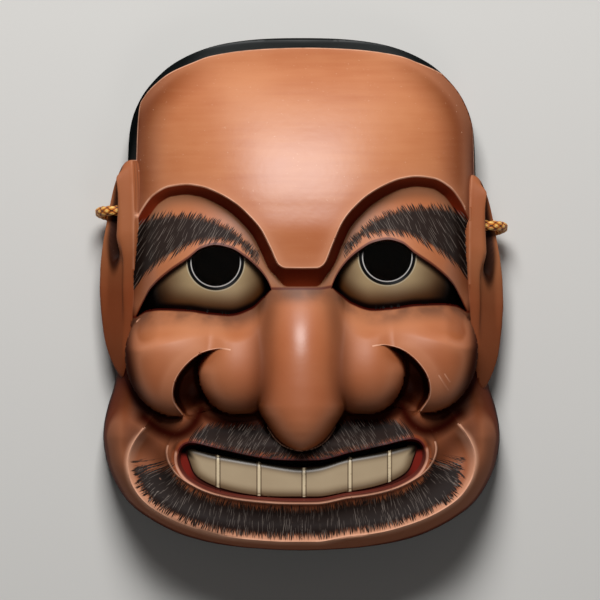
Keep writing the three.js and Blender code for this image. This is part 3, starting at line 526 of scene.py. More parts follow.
def triangles_in(points, line):
    result = delaunay_2d_cdt([Vector(p) for p in points], [], [], 0, 1e-7)
    flat = np.array([v[:] for v in result[0]])
    faces = np.array([f[:] for f in result[2]])
    middle = flat[faces].mean(axis=1)
    return flat, faces[nearest(line, middle[:, 0], middle[:, 1])[0] > 1e-6]


def block(name, ring, inner, top, bottom):
    """A solid between a carved top and a plain bottom, over the points inside a ring"""
    closed = np.concatenate([ring, ring[:1]])
    flat, faces = triangles_in(np.concatenate([ring, inner]), closed)
    base, base_faces = triangles_in(np.concatenate([ring, field(closed, 9, 6)]), closed)
    n, m = len(flat), len(ring)
    i = np.arange(m)
    j = (i + 1) % m
    sides = np.concatenate([np.stack([i, n + i, n + j], 1), np.stack([i, n + j, j], 1)])
    vertices = np.concatenate([top(flat[:, 0], flat[:, 1]), bottom(base[:, 0], base[:, 1])])
    every = np.concatenate([faces, base_faces[:, ::-1] + n, sides])
    return mesh_piece(name, vertices, every)


def mesh_piece(name, vertices, faces):
    mesh = bpy.data.meshes.new(name)
    mesh.from_pydata((vertices * MM).tolist(), [], [tuple(f) for f in np.asarray(faces).tolist()])
    mesh.validate()
    piece = bpy.data.objects.new(name, mesh)
    bpy.context.collection.objects.link(piece)
    return piece


def mirrored(piece):
    """The mirror image of a solid in the plane between left and right"""
    mesh = piece.data.copy()
    points = positions(mesh) * (-1, 1, 1)
    mesh.vertices.foreach_set("co", points.ravel())
    mesh.flip_normals()
    twin = bpy.data.objects.new(piece.name + "_mirrored", mesh)
    bpy.context.collection.objects.link(twin)
    return twin


def positions(mesh):
    flat = np.empty(len(mesh.vertices) * 3, np.float32)
    mesh.vertices.foreach_get("co", flat)
    return flat.reshape(-1, 3)


def carve(piece, tool, operation):
    """Joins a solid to the piece or cuts it away, and clears the tool"""
    cut = piece.modifiers.new("carve", "BOOLEAN")
    cut.solver, cut.operation, cut.object = "MANIFOLD", operation, tool
    bpy.context.view_layer.update()
    evaluated = piece.evaluated_get(bpy.context.evaluated_depsgraph_get())
    mesh = bpy.data.meshes.new_from_object(evaluated)
    piece.modifiers.remove(cut)
    piece.data = mesh
    bpy.data.objects.remove(tool)


def ball_tool(form, sign=1):
    bpy.ops.mesh.primitive_uv_sphere_add(segments=48, ring_count=24)
    tool = bpy.context.object
    size = np.array([form["rx"], form["ry"], form["rz"]])
    centre = np.array([sign * form["x"], form["y"], form["z"]])
    tool.data.vertices.foreach_set("co", ((positions(tool.data) * size + centre) * MM).ravel())
    return tool


def rod_tool(radius, length, centre, sides):
    """A round bar that lies along X"""
    bpy.ops.mesh.primitive_cylinder_add(vertices=sides, radius=radius, depth=length)
    tool = bpy.context.object
    p = positions(tool.data)[:, [2, 0, 1]] + np.array(centre)
    tool.data.vertices.foreach_set("co", (p * MM).ravel())
    return tool


def prism_tool(name, ring):
    """An upright bar with a flat outline, from under the rim to over the eyeballs"""
    low, high = -3, 62
    no_points = np.empty((0, 2))
    return block(name, ring, no_points, lambda x, y: upright(x, y, high), lambda x, y: upright(x, y, low))


def upright(x, y, z):
    return np.stack([x, y, np.broadcast_to(z, x.shape)], axis=-1)


def face_block():
    ring = steps_along(OUTLINE_RING, FINE)[:-1]
    lines = one_in_each_cell(carved_points(), 0.3)
    inside = nearest(OUTLINE_RING, lines[:, 0], lines[:, 1])[0] > 0.2
    lines = lines[inside]
    kept = np.concatenate([ring, lines])
    plain = field(OUTLINE_RING, PLAIN, 0.7, kept, lambda x, y: y > 50)
    fine = field(OUTLINE_RING, FINE, 0.5, kept, lambda x, y: y <= 50)
    inner = np.concatenate([lines, plain, fine])
    return block("mask_face", ring, inner, lambda x, y: upright(x, y, face_height(Places(x, y))),
                 lambda x, y: upright(x, y, 0))


def hollow_tool():
    """The hollow behind the face"""
    ring = steps_along(OUTLINE_RING, 4, RIM_WALL)[:-1]
    insets = (0.4, 1.2, 2.6, 5, 8)
    shoulders = np.concatenate([steps_along(OUTLINE_RING, 4, RIM_WALL + inset) for inset in insets])
    closed = np.concatenate([ring, ring[:1]])
    inner = np.concatenate([shoulders, field(closed, 3.5, 3, shoulders)])

    def top(x, y):
        edge = nearest(OUTLINE_RING, x, y)[0] - RIM_WALL
        return upright(x, y, np.where(edge < 0.1, 0.5, hollow_height(x, y, edge)))
    return block("hollow", ring, inner, top, lambda x, y: upright(x, y, -2))


def pupil_tool(sign):
    """The round hole in an eyeball, cut off where the upper lid covers it"""
    a = np.linspace(0, 2 * math.pi, 72, endpoint=False)
    x = EYE["x"] + EYE["pupil"] * np.cos(a)
    y = np.minimum(EYE["y"] + EYE["pupil"] * np.sin(a), profile(UPPER_LID_AT, x) - LID_EDGE)
    ring = np.stack([sign * x, y + (EYE_LIFT if sign > 0 else 0)], axis=1)
    return prism_tool("pupil", ring if sign > 0 else ring[::-1])


def slit_tool():
    """The opening over the teeth, which the wearer speaks through"""
    x = np.linspace(-SLIT_HALF, SLIT_HALF, 90)
    upper = profile(sorted(MOUTH[8:]), np.abs(x)) - 0.4
    lower = profile(sorted(TEETH[6:]), np.abs(x))
    lift = MOUTH_LIFT * ease(6, 20, x)
    ring = np.concatenate([np.stack([x, lower + lift], 1), np.stack([x, upper + lift], 1)[::-1]])
    return prism_tool("slit", ring)


def ear_block(sign):
    spacing = FINE * 1.2
    ring = steps_along(EAR_RING, spacing)[:-1]
    rims = np.concatenate([steps_along(EAR_RING, spacing, inset) for inset in (0.2, 0.6, 1.2)])
    inner = np.concatenate([rims, field(EAR_RING, FINE * 1.35, 1.8)])
    ear = block("ear", ring, inner, lambda u, v: ear_point(1, u, v, ear_relief(u, v)),
                lambda u, v: ear_point(1, u, v, -EAR_THICKNESS))
    shift = positions(ear.data) - np.array([0, (EAR_DROP if sign < 0 else 0) * -MM, 0])
    ear.data.vertices.foreach_set("co", shift.ravel())
    if sign > 0:
        return ear
    twin = mirrored(ear)
    bpy.data.objects.remove(ear)
    return twin


def carved_mask():
    piece = face_block()
    for sign in (-1, 1):
        carve(piece, ear_block(sign), "UNION")
    arch_radius = (ARCH["half"] ** 2 + ARCH["height"] ** 2) / (2 * ARCH["height"])
    tools = [hollow_tool(), ball_tool(NOSE_HOLLOW), slit_tool(),
             rod_tool(arch_radius, 200, (0, ARCH["y"], ARCH["height"] - arch_radius), 720)]
    for sign in (-1, 1):
        x, y, z = ear_point(sign, np.array(CORD_HOLE["u"]), np.array(CORD_HOLE["v"]), 0)
        hole = rod_tool(HOLE_RADIUS, 34, (x - sign * 7, y, z), 24)
        tools += [pupil_tool(sign), ball_tool(NOSTRIL, sign), hole]
    for tool in tools:
        carve(piece, tool, "DIFFERENCE")
    piece.name = "carved_mask"
    return piece


# Camera, straight above the mask, far off with a long lens
def make_camera():
    data = bpy.data.cameras.new("camera")
    camera = bpy.data.objects.new("camera", data)
    bpy.context.collection.objects.link(camera)
    distance, view_width, middle_height = 5.0, 0.240, 0.045
    data.sensor_width = 36
    data.lens = data.sensor_width * distance / view_width
    data.clip_end = 20
    camera.location = (-0.0006, -0.0022, middle_height + distance)
    bpy.context.scene.camera = camera


# Cords
def cord_path(sign):
    """The whole way of a cord, from the knot inside the mask to the end of its coil"""
    route = [(x, y - (EAR_DROP * float(ease(10, 30, y)) if sign > 0 else 0), z) for x, y, z in CORD_ROUTE]
    return np.array(route + coil_turns()) * (sign, 1, 1)


def coil_turns():
    """Two turns up the outside of the coil, one on top and two down its inside, then the tail"""
    low = COIL["lift"] + CORD_RADIUS
    middle, top = low + 4.2, low + 7.8
    side = CORD_RADIUS
    turns = [(side, low), (side, middle), (0, top), (-side, middle), (-side, low)]
    ends = turns[1:] + [(-side, low)]
    points, steps, tail = [], 24, 4
    for (out, z), (next_out, next_z) in zip(turns, ends):
        for k in range(steps):
            t = float(ease(0.79, 0.96, k / steps))
            points.append((blend(out, next_out, t), k / steps, blend(z, next_z, t)))
    for k in range(tail + 1):
        points.append((-side - 5.6 * float(ease(0, tail, k)), k * 0.042, low + 1.2 * k / tail))
    result = []
    for out, turn, z in points:
        a = -turn * 2 * math.pi
        r = COIL["middle"] + out
        result.append((COIL["x"] + r * math.cos(a), COIL["y"] + r * math.sin(a), z))
    return result


def knot_path(centre, across):
    """A trefoil, the line of a tightened overhand knot"""
    t = np.linspace(0, 2 * math.pi, 49)[:-1]
    x = np.sin(t) + 2 * np.sin(2 * t)
    y = np.cos(t) - 2 * np.cos(2 * t)
    z = -1.6 * np.sin(3 * t)
    return np.stack([x, y, z], axis=1) * (across / 6.4) + np.array(centre)


def curve_piece(name, points, closed=False):
    """A curve with one spline through the points"""
    curve = bpy.data.curves.new(name, "CURVE")
    curve.dimensions = "3D"
    line = curve.splines.new("POLY")
    line.points.add(len(points) - 1)
    weighted = np.concatenate([points * MM, np.ones((len(points), 1))], axis=1)
    line.points.foreach_set("co", weighted.ravel())
    line.use_cyclic_u = closed
    piece = bpy.data.objects.new(name, curve)
    bpy.context.collection.objects.link(piece)
    return piece


# Node trees
class Tree:
    """Adds nodes to a node tree and links their sockets"""

    def __init__(self, tree):
        self.tree = tree

    def add(self, kind, inputs=(), **settings):
        node = self.tree.nodes.new(kind)
        for key, value in settings.items():
            setattr(node, key, value)
        for key, value in dict(inputs).items():
            self.feed(node.inputs[key], value)
        return node

    def feed(self, socket, value):
        if isinstance(value, bpy.types.NodeSocket):
            self.tree.links.new(value, socket)
        else:
            socket.default_value = value

    def math(self, operation, a, b=0.0, c=0.0):
        node = self.add("ShaderNodeMath", operation=operation)
        for socket, value in zip(node.inputs, (a, b, c)):
            self.feed(socket, value)
        return node.outputs[0]

    def crossing(self, around, along):
        """1 on top of each lump of a braid, falling to 0 in the furrows between them"""
        one = self.math("COSINE", self.math("ADD", around, along))
        two = self.math("COSINE", self.math("SUBTRACT", around, along))
        return self.math("SQRT", self.math("ABSOLUTE", self.math("MULTIPLY", one, two)))


class Shapes(Tree):
    """Builds a tree of geometry nodes"""

    def stored(self, geometry, name, value):
        node = self.add("GeometryNodeStoreNamedAttribute", data_type="FLOAT", domain="POINT")
        for key, given in (("Geometry", geometry), ("Name", name), ("Value", value)):
            self.feed(node.inputs[key], given)
        return node.outputs[0]

    def named(self, name):
        return self.add("GeometryNodeInputNamedAttribute", {"Name": name}, data_type="FLOAT").outputs[0]


def braided_cord_tree(material):
    """Sweeps a round section along a curve and presses a braid into it"""
    group = bpy.data.node_groups.new("Braided Cord", "GeometryNodeTree")
    face = group.interface
    face.new_socket("Line", in_out="INPUT", socket_type="NodeSocketGeometry")
    sizes = {"Radius": CORD_RADIUS, "Braid Length": BRAID_LENGTH, "Relief": BRAID_RELIEF, "Step": 0.5}
    for name, value in sizes.items():
        face.new_socket(name, in_out="INPUT", socket_type="NodeSocketFloat").default_value = value * MM
    face.new_socket("Cord", in_out="OUTPUT", socket_type="NodeSocketGeometry")
    t = Shapes(group)
    given = t.add("NodeGroupInput").outputs
    spacing = {"Curve": given["Line"], "Length": given["Step"]}
    steps = t.add("GeometryNodeResampleCurve", spacing, mode="LENGTH").outputs[0]
    along = t.stored(steps, "along", t.add("GeometryNodeSplineParameter").outputs["Length"])
    section = {"Resolution": 18, "Radius": given["Radius"]}
    circle = t.add("GeometryNodeCurvePrimitiveCircle", section, mode="RADIUS").outputs[0]
    around = t.stored(circle, "around", t.add("GeometryNodeSplineParameter").outputs["Factor"])
    sweep = {"Curve": along, "Profile Curve": around, "Fill Caps": True}
    swept = t.add("GeometryNodeCurveToMesh", sweep).outputs[0]
    braids = t.math("DIVIDE", t.named("along"), given["Braid Length"])
    along_turns = t.math("MULTIPLY", braids, 2 * math.pi)
    lump = t.crossing(t.math("MULTIPLY", t.named("around"), 4 * math.pi), along_turns)
    depth = t.math("MULTIPLY", t.math("SUBTRACT", lump, 1.0), given["Relief"])
    normal = t.add("GeometryNodeInputNormal").outputs["Normal"]
    move = t.add("ShaderNodeVectorMath", operation="SCALE")
    t.feed(move.inputs[0], normal)
    t.feed(move.inputs["Scale"], depth)
    pressed = t.add("GeometryNodeSetPosition", {"Geometry": swept, "Offset": move.outputs[0]})
    real = t.add("GeometryNodeRealizeInstances", {"Geometry": pressed.outputs[0]})
    dressed = t.add("GeometryNodeSetMaterial", {"Geometry": real.outputs[0], "Material": material})
    t.add("NodeGroupOutput", {"Cord": dressed.outputs[0]})
    return group


def braided(piece, group):
    """Runs the cord tree on a curve and keeps its result as a plain mesh"""
    modifier = piece.modifiers.new("braid", "NODES")
    modifier.node_group = group
    evaluated = piece.evaluated_get(bpy.context.evaluated_depsgraph_get())
    mesh = bpy.data.meshes.new_from_object(evaluated)
    name = piece.name
    bpy.data.objects.remove(piece)
    result = bpy.data.objects.new(name, mesh)
    bpy.context.collection.objects.link(result)
    mesh.shade_smooth()
    return result


def make_cords(material):
    group = braided_cord_tree(material)
    for side, sign in (("left", -1), ("right", 1)):
        path = cord_path(sign)
        cord = braided(curve_piece(f"tie_cord_{side}", path), group)
        drop = EAR_DROP if sign > 0 else 0
        stopper_at = (sign * KNOT_AT_EAR[0], KNOT_AT_EAR[1] - drop, KNOT_AT_EAR[2])
        stopper_path = knot_path((0, 0, 0), KNOT_ACROSS)[:, [2, 0, 1]] + stopper_at
        stopper = braided(curve_piece(f"stopper_knot_{side}", stopper_path, True), group)
        end_at = (sign * END_KNOT["x"], END_KNOT["y"], COIL["lift"] + KNOT_RADIUS)
        end = braided(curve_piece(f"end_knot_{side}", knot_path(end_at, KNOT_ACROSS), True), group)
        for piece in (cord, stopper, end):
            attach(piece, "root")
        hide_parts(f"cord_{side}", f"cord_{side}_coil")
        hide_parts(f"cord_{side}_stopper")
        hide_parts(f"cord_{side}_knot")


# Attributes that the paint follows
def store(mesh, name, values):
    vector = np.ndim(values) == 2
    layer = mesh.attributes.new(name, "FLOAT_VECTOR" if vector else "FLOAT", "POINT")
    layer.data.foreach_set("vector" if vector else "value", np.asarray(values, np.float32).ravel())


def blurred(grid, radius):
    """A grid averaged over a square a few times, which is close to a round blur"""
    for _ in range(3):
        for axis in (0, 1):
            widths = [(radius + 1, radius) if k == axis else (0, 0) for k in (0, 1)]
            padded = np.pad(grid, widths, mode="edge")
            total = np.cumsum(padded, axis=axis)
            near = np.take(total, range(2 * radius + 1, total.shape[axis]), axis=axis)
            far = np.take(total, range(0, total.shape[axis] - 2 * radius - 1), axis=axis)
            grid = (near - far) / (2 * radius + 1)
    return grid


def recess(x, y):
    """How far the carving lies below its surroundings, near and wide, in millimetres"""
    left, foot, spacing = -84, -106, 0.75
    gx, gy = np.meshgrid(np.arange(left, 0.5 - left, spacing), np.arange(foot, 0.5 - foot, spacing))
    z = face_height(Places(gx, gy))
    z = np.where(nearest(OUTLINE_RING, gx, gy)[0] > 0, z, 12)
    col, row = (x - left) / spacing, (y - foot) / spacing
    c, r = np.clip(col.astype(int), 0, gx.shape[1] - 2), np.clip(row.astype(int), 0, gx.shape[0] - 2)
    s, t = np.clip(col - c, 0, 1), np.clip(row - r, 0, 1)
    found = []
    for radius in (1, 4):
        g = blurred(z, radius) - z
        found.append(blend(blend(g[r, c], g[r, c + 1], s), blend(g[r + 1, c], g[r + 1, c + 1], s), t))
    return found


def ear_place(x, y, z):
    """Where a point lies on an ear: back from its front edge, up, and out from its leaf"""
    v = y + np.where(x > 0, EAR_DROP, 0)
    flare = profile(EAR_FLARE_AT, v) / EAR_DEPTH
    front = EAR_FRONT["z"] - 4.5 * ease(26, 4, v)
    away = np.abs(x) - EAR_FRONT["x"]
    rise = EAR_OUT[1] / EAR_OUT[0]
    u = (front + rise * away - z) / (EAR_SLOPE + rise * flare)
    return u, v, (away - flare * u) / EAR_OUT[0]


def worn_and_lit_edges(at, face, ear_edge):
    """Distance from the nearest carved edge, whose light line is partly wear and partly painted
    highlight, or from a scratch, as a share of its width
    """
    def where(wanted, distance, width):
        return np.where(wanted & face, np.abs(distance) / width, 9)
    nose_y = np.linspace(-62.5, -53, 40)
    nose_foot = np.stack([profile(NOSE_WIDTH_AT, nose_y), nose_y], axis=1)
    found = [
        where(at.ax < 66, at.ledge, 0.6),
        where((at.fold_share > 0.02) & (at.fold_share < 0.8), at.fold, 0.45),
        where(at.y_mouth < -53, at.dish, 0.9),
        where(at.y_mouth < -60, at.muzzle, 0.6),
        where(at.y > 46, at.hair, 0.3),
        where(at.y < -52, nearest(nose_foot, at.ax, at.y)[0], 0.4),
        np.where(face, 9, 0.65 + ear_edge / 0.8)]
    found += [where(at.y < 0, nearest(spline(mark), at.x, at.y)[0], 0.45) for mark in SCRATCHES]
    return np.min(found, axis=0)


def painted_shadow(at):
    """Where shadow is painted into the hollows"""
    def along(line, width, share):
        return share * bell(nearest(spline(line), at.ax, at.y_mouth)[0] / width)
    return np.max([along(*line) for line in SHADOW_LINES], axis=0)


def store_places(mesh):
    """Keeps each point's distance from the carved and painted lines, for the paint to follow"""
    x, y, z = (positions(mesh) / MM).astype(float).T
    normals = np.empty(len(x) * 3, np.float32)
    mesh.vertex_normals.foreach_get("vector", normals)
    at = Places(x, y)
    face = np.abs(z - face_height(at)) < 0.6
    u, v, out = ear_place(x, y, z)
    ear = ~face & (at.ax > 66) & (z < 36) & (u > -1.5) & (u < EAR_DEPTH + 1)
    ear &= out > -EAR_THICKNESS - 1.2
    ear_edge = np.where(ear, np.abs(nearest(EAR_RING, u, v)[0]), 9)
    near, wide = recess(x, y)
    ledge_foot = at.ledge + at.ledge_wall - 0.7 * np.maximum(at.ax - 62, 0)
    # A painted highlight along the inside of the chin's rim
    rim_highlight = 0.6 * ease(4, 0.5, at.dish) * ease(-2, -0.5, at.dish) * ease(-54, -60, at.y_mouth)
    # Painted shade towards the sides, less at the top of the forehead and more low on the side walls
    top_middle = ease(62, 90, at.y) * ease(62, 30, at.ax)
    side = 0.85 * ease(17, 1, at.edge) * (1 - 0.8 * top_middle)
    lower = at.y_mouth - profile(MOUTH_MIDDLE_AT, at.ax)
    hair_line = np.where((v > 45) & ~ear, at.hair, -9)
    side = np.maximum(side, 0.9 * ease(24, 6, z) * ease(6, 2, at.edge))
    corner = np.maximum(ease(48, 58, at.ax - 0.3 * at.above_lower_lid), ease(17, 14, at.ax))
    on_face = {
        "lids": (at.lids, -9), "above_lower_lid": (at.above_lower_lid, -30), "pupil": (at.pupil, 9),
        "mouth": (at.mouth, -30),
        "lower_lip": (ease(1, -1, lower), 0), "mouth_corner": (ease(41, 46, at.ax), 0),
        "teeth": (at.teeth, -9), "tooth_gap": (at.tooth_gap, 9), "rim_highlight": (rim_highlight, 0),
        "below_eye": (profile(UPPER_LID_AT, at.ax) - at.y_eye, -9), "eye_corner": (corner, 0),
        "eye_ends": (np.maximum(ease(42, 56, at.ax), ease(27, 15, at.ax)), 0),
        "pupil_foot": (ease(EYE["y"] + 3, EYE["y"] - 1, at.y_eye), 0)}
    for name, (values, elsewhere) in on_face.items():
        store(mesh, name, np.where(face, values, elsewhere))
    polish = np.maximum(ease(0, 8, at.ledge), bell(np.hypot(at.x / 11, (at.y + 18) / 11)))
    # Painted shade towards the bottom, at the sides and in the recesses, and painted shadow in the
    # hollows
    off_ears = {
        "ledge": (at.ledge, -30), "ledge_foot": (ledge_foot, -30), "hair_line": (hair_line, -9),
        "near_recess": (near, 0), "wide_recess": (wide, 0), "painted_shadow": (painted_shadow(at), 0),
        "low": (ease(0, -50, at.y), 0), "side_shade": (side, blend(0.75, 0.4, ease(0, 20, v))),
        "polish": (polish * ease(1, 6, at.edge), 0)}
    for name, (values, on_ears) in off_ears.items():
        store(mesh, name, np.where(ear, on_ears, values))
    store(mesh, "steep", ease(0.7, 0.35, normals[2::3]))
    # Painted shade in the ear's hollow
    store(mesh, "ear_hollow_shade", np.where(ear & (u > 8.5), ease(1.5, 1.1, ear_reach(u, v)), 0))
    for hair in (brow_hair, beard_hair, moustache_hair):
        values = hair(at)
        values[:, 2] = np.where(face, values[:, 2], -9)
        store(mesh, hair.__name__, values)
    store(mesh, "worn_and_lit_edge", worn_and_lit_edges(at, face, ear_edge))


def slanting(x, y, angle):
    """Along and across strokes that lean towards the middle of the face at their tops"""
    lean = math.radians(angle)
    towards = np.where(x < 0, x, -x)
    return towards * math.cos(lean) + y * math.sin(lean), towards * math.sin(lean) - y * math.cos(lean)


def brow_hair(at):
    """Along the strokes, across them, and the depth inside the painted brow"""
    along, across = slanting(at.x, at.y_brow, 60)
    top, foot = profile(BROW_TOP_AT, at.ax), profile(BROW_FOOT_AT, at.ax)
    inner, outer = BROW_ENDS
    from_edges = [top - at.y_brow, at.y_brow - foot, (at.ax - inner) * 1.2, (outer - at.ax) * 1.2]
    return np.stack([along, across, np.min(from_edges, axis=0)], axis=1)


def beard_hair(at):
    """The same for the beard, whose strokes run out from the mouth"""
    length = np.hypot(*np.diff(MUZZLE_RING, axis=0).T).sum()
    from_rim = at.dish - 1.3 - np.where(at.x > 0, 3.8, 1.2) * ease(-84, -68, at.y_mouth)
    depth = np.min([-at.mouth - 2.6, from_rim, 0.6 * (-68 - at.y_mouth)], axis=0)
    return np.stack([-at.muzzle, at.muzzle_share * length, depth], axis=1)


def moustache_hair(at):
    """The same for the moustache, which leaves the nose's tip free"""
    along, across = slanting(at.x, at.y_mouth, 57)
    beside_nose = 3 * np.maximum(at.ax - profile(NOSE_WIDTH_AT, at.y), NOSE_FOOT - at.y)
    top, foot = profile(MOUSTACHE_TOP_AT, at.ax), profile(MOUSTACHE_FOOT_AT, at.ax)
    from_edges = [top - at.y_mouth, at.y_mouth - foot, MOUSTACHE_END - at.ax, beside_nose]
    return np.stack([along, across, np.min(from_edges, axis=0)], axis=1)


# Paint
class Paint(Tree):
    """Builds one material or one shared effect"""

    base = None  # the colours laid so far

    def lay(self, mask, *shades):
        """Lays a colour over the ones before it where the mask is 1"""
        self.base = self.mix(mask, self.base, colour(*shades))

    def attribute(self, name):
        return self.add("ShaderNodeAttribute", attribute_name=name).outputs["Fac"]

    def vector(self, name):
        out = self.add("ShaderNodeAttribute", attribute_name=name).outputs["Vector"]
        return self.add("ShaderNodeSeparateXYZ", {0: out}).outputs

    def step(self, value, start, end, low=0.0, high=1.0):
        inputs = {"Value": value, "From Min": start, "From Max": end, "To Min": low, "To Max": high}
        return self.add("ShaderNodeMapRange", inputs, interpolation_type="SMOOTHSTEP").outputs[0]

    def band(self, value, centre, half):
        """1 on a line at a distance, falling to 0 at half its width"""
        return self.step(self.math("ABSOLUTE", self.math("SUBTRACT", value, centre)), half, half * 0.3)

    def times(self, *values):
        result = values[0]
        for value in values[1:]:
            result = self.math("MULTIPLY", result, value)
        return result

    def mix(self, factor, a, b):
        node = self.add("ShaderNodeMix", data_type="RGBA", clamp_factor=True)
        self.feed(node.inputs["Factor"], factor)
        self.feed(node.inputs[6], a)
        self.feed(node.inputs[7], b)
        return node.outputs[2]

    def noise(self, scale, detail=2.0, vector=None):
        node = self.add("ShaderNodeTexNoise", {"Scale": scale, "Detail": detail})
        self.feed(node.inputs["Vector"], vector or self.object_place())
        return node.outputs["Fac"]

    def random(self, *numbers):
        """A random number and two more, the same for the same numbers"""
        place = self.add("ShaderNodeCombineXYZ", dict(enumerate(numbers))).outputs[0]
        found = self.add("ShaderNodeTexWhiteNoise", {"Vector": place}, noise_dimensions="3D")
        return self.add("ShaderNodeSeparateColor", {0: found.outputs["Color"]}).outputs

    def object_place(self, scale=(1, 1, 1)):
        place = self.add("ShaderNodeTexCoord").outputs["Object"]
        return self.add("ShaderNodeMapping", {"Vector": place, "Scale": scale}).outputs[0]

    def effect(self, name, **inputs):
        node = self.add("ShaderNodeGroup", node_tree=bpy.data.node_groups[name])
        for key, value in inputs.items():
            self.feed(node.inputs[key.replace("_", " ").title()], value)
        return node.outputs


def colour(*shades):
    """A colour as it is read off a screen, 0 to 255, made linear"""
    linear = [((c / 255 + 0.055) / 1.055) ** 2.4 if c > 10 else c / 255 / 12.92 for c in shades]
    return (*linear, 1)


def effect_group(name, inputs, outputs):
    group = bpy.data.node_groups.new(name, "ShaderNodeTree")
    for key, value in inputs.items():
        socket = group.interface.new_socket(key, in_out="INPUT", socket_type="NodeSocketFloat")
        socket.default_value = value
    for key in outputs:
        group.interface.new_socket(key, in_out="OUTPUT", socket_type="NodeSocketFloat")
    paint = Paint(group)
    return paint, paint.add("NodeGroupInput").outputs


def painted_hair_effect():
    """Brushed hair: a wash that ends in bristles, and fine lines of skin left light between them"""
    inputs = {
        "Along": 0.0, "Across": 0.0, "Depth": 0.0, "Row Width": 1.1, "Stroke Length": 7.0, "Seed": 0.0}
    t, given = effect_group("Painted Hair", inputs, ("Wash", "Light Lines"))
    slow_along, slow_across = t.times(given["Along"], 0.09), t.times(given["Across"], 0.16)
    place = t.add("ShaderNodeCombineXYZ", {0: slow_along, 1: slow_across, 2: given["Seed"]}).outputs[0]
    bend = t.math("SUBTRACT", t.noise(1.0, 0.0, place), 0.5)
    bent = t.math("MULTIPLY_ADD", bend, 2.2, given["Across"])
    row = t.math("DIVIDE", bent, given["Row Width"])
    row_number, in_row = t.math("FLOOR", row), t.math("FRACT", row)
    of_row = t.random(row_number, given["Seed"], 0.5)
    depth = t.math("ADD", given["Depth"], t.math("MULTIPLY_ADD", of_row[0], 2.8, -1.2))
    from_middle = t.math("ABSOLUTE", t.math("SUBTRACT", in_row, 0.5))
    width = t.step(depth, -0.4, 2.0, 0.1, 0.5)
    bristle = t.step(t.math("DIVIDE", from_middle, width), 1.0, 0.5)
    core = t.step(given["Depth"], 0.6, 2.8)
    wash = t.times(t.step(depth, -0.4, 1.2), t.math("MAXIMUM", bristle, core))
    stroke = t.math("DIVIDE", given["Along"], given["Stroke Length"])
    stroke = t.math("ADD", stroke, t.math("MULTIPLY", of_row[1], 7.0))
    in_stroke = t.math("FRACT", stroke)
    of_stroke = t.random(row_number, t.math("FLOOR", stroke), given["Seed"])
    line_at = t.math("MULTIPLY_ADD", of_stroke[0], 0.6, 0.2)
    off_line = t.math("ABSOLUTE", t.math("SUBTRACT", in_row, line_at))
    tapered = t.times(t.step(in_stroke, 0.0, 0.2), t.step(in_stroke, 1.0, 0.6))
    line = t.step(off_line, t.math("MULTIPLY_ADD", tapered, 0.24, 0.02), 0.0)
    kept = t.times(t.math("LESS_THAN", of_stroke[1], 0.3), t.math("MULTIPLY_ADD", of_stroke[2], 0.8, 0.2))
    t.add("NodeGroupOutput", {"Wash": wash, "Light Lines": t.times(line, tapered, kept)})


def wear_and_highlight_effect():
    """A crisp thin light line on a carved edge, partly wear and partly painted highlight, broken up along
    its length
    """
    t, given = effect_group("Worn And Lit Edge", {"Distance": 9.0, "Amount": 0.9}, ("Mask",))
    broken = t.step(t.noise(160.0, 3.0), 0.3, 0.6, 0.45, 1.0)
    mask = t.times(t.step(given["Distance"], 1.0, 0.0), broken, given["Amount"])
    t.add("NodeGroupOutput", {"Mask": mask})


def lacquer_effect():
    """Faint brush streaks and mottling of old lacquer, and specks of painted glint"""
    outputs = ("Streaks", "Clouds", "Glints", "Grain")
    t, given = effect_group("Old Lacquer", {"Streak Scale": 60.0}, outputs)
    streaks = t.noise(given["Streak Scale"], 3.0, t.object_place((0.55, 7, 1)))
    glints = t.step(t.noise(1100.0, 1.0), 0.73, 0.79)
    clouds, grain = t.noise(22.0, 3.0), t.noise(350.0, 2.0)
    t.add("NodeGroupOutput", {"Streaks": streaks, "Clouds": clouds, "Glints": glints, "Grain": grain})


def new_material(name, roughness):
    material = bpy.data.materials.new(name)
    material.use_nodes = True
    shader = material.node_tree.nodes["Principled BSDF"]
    shader.inputs["Roughness"].default_value = roughness
    return material, Paint(material.node_tree), shader


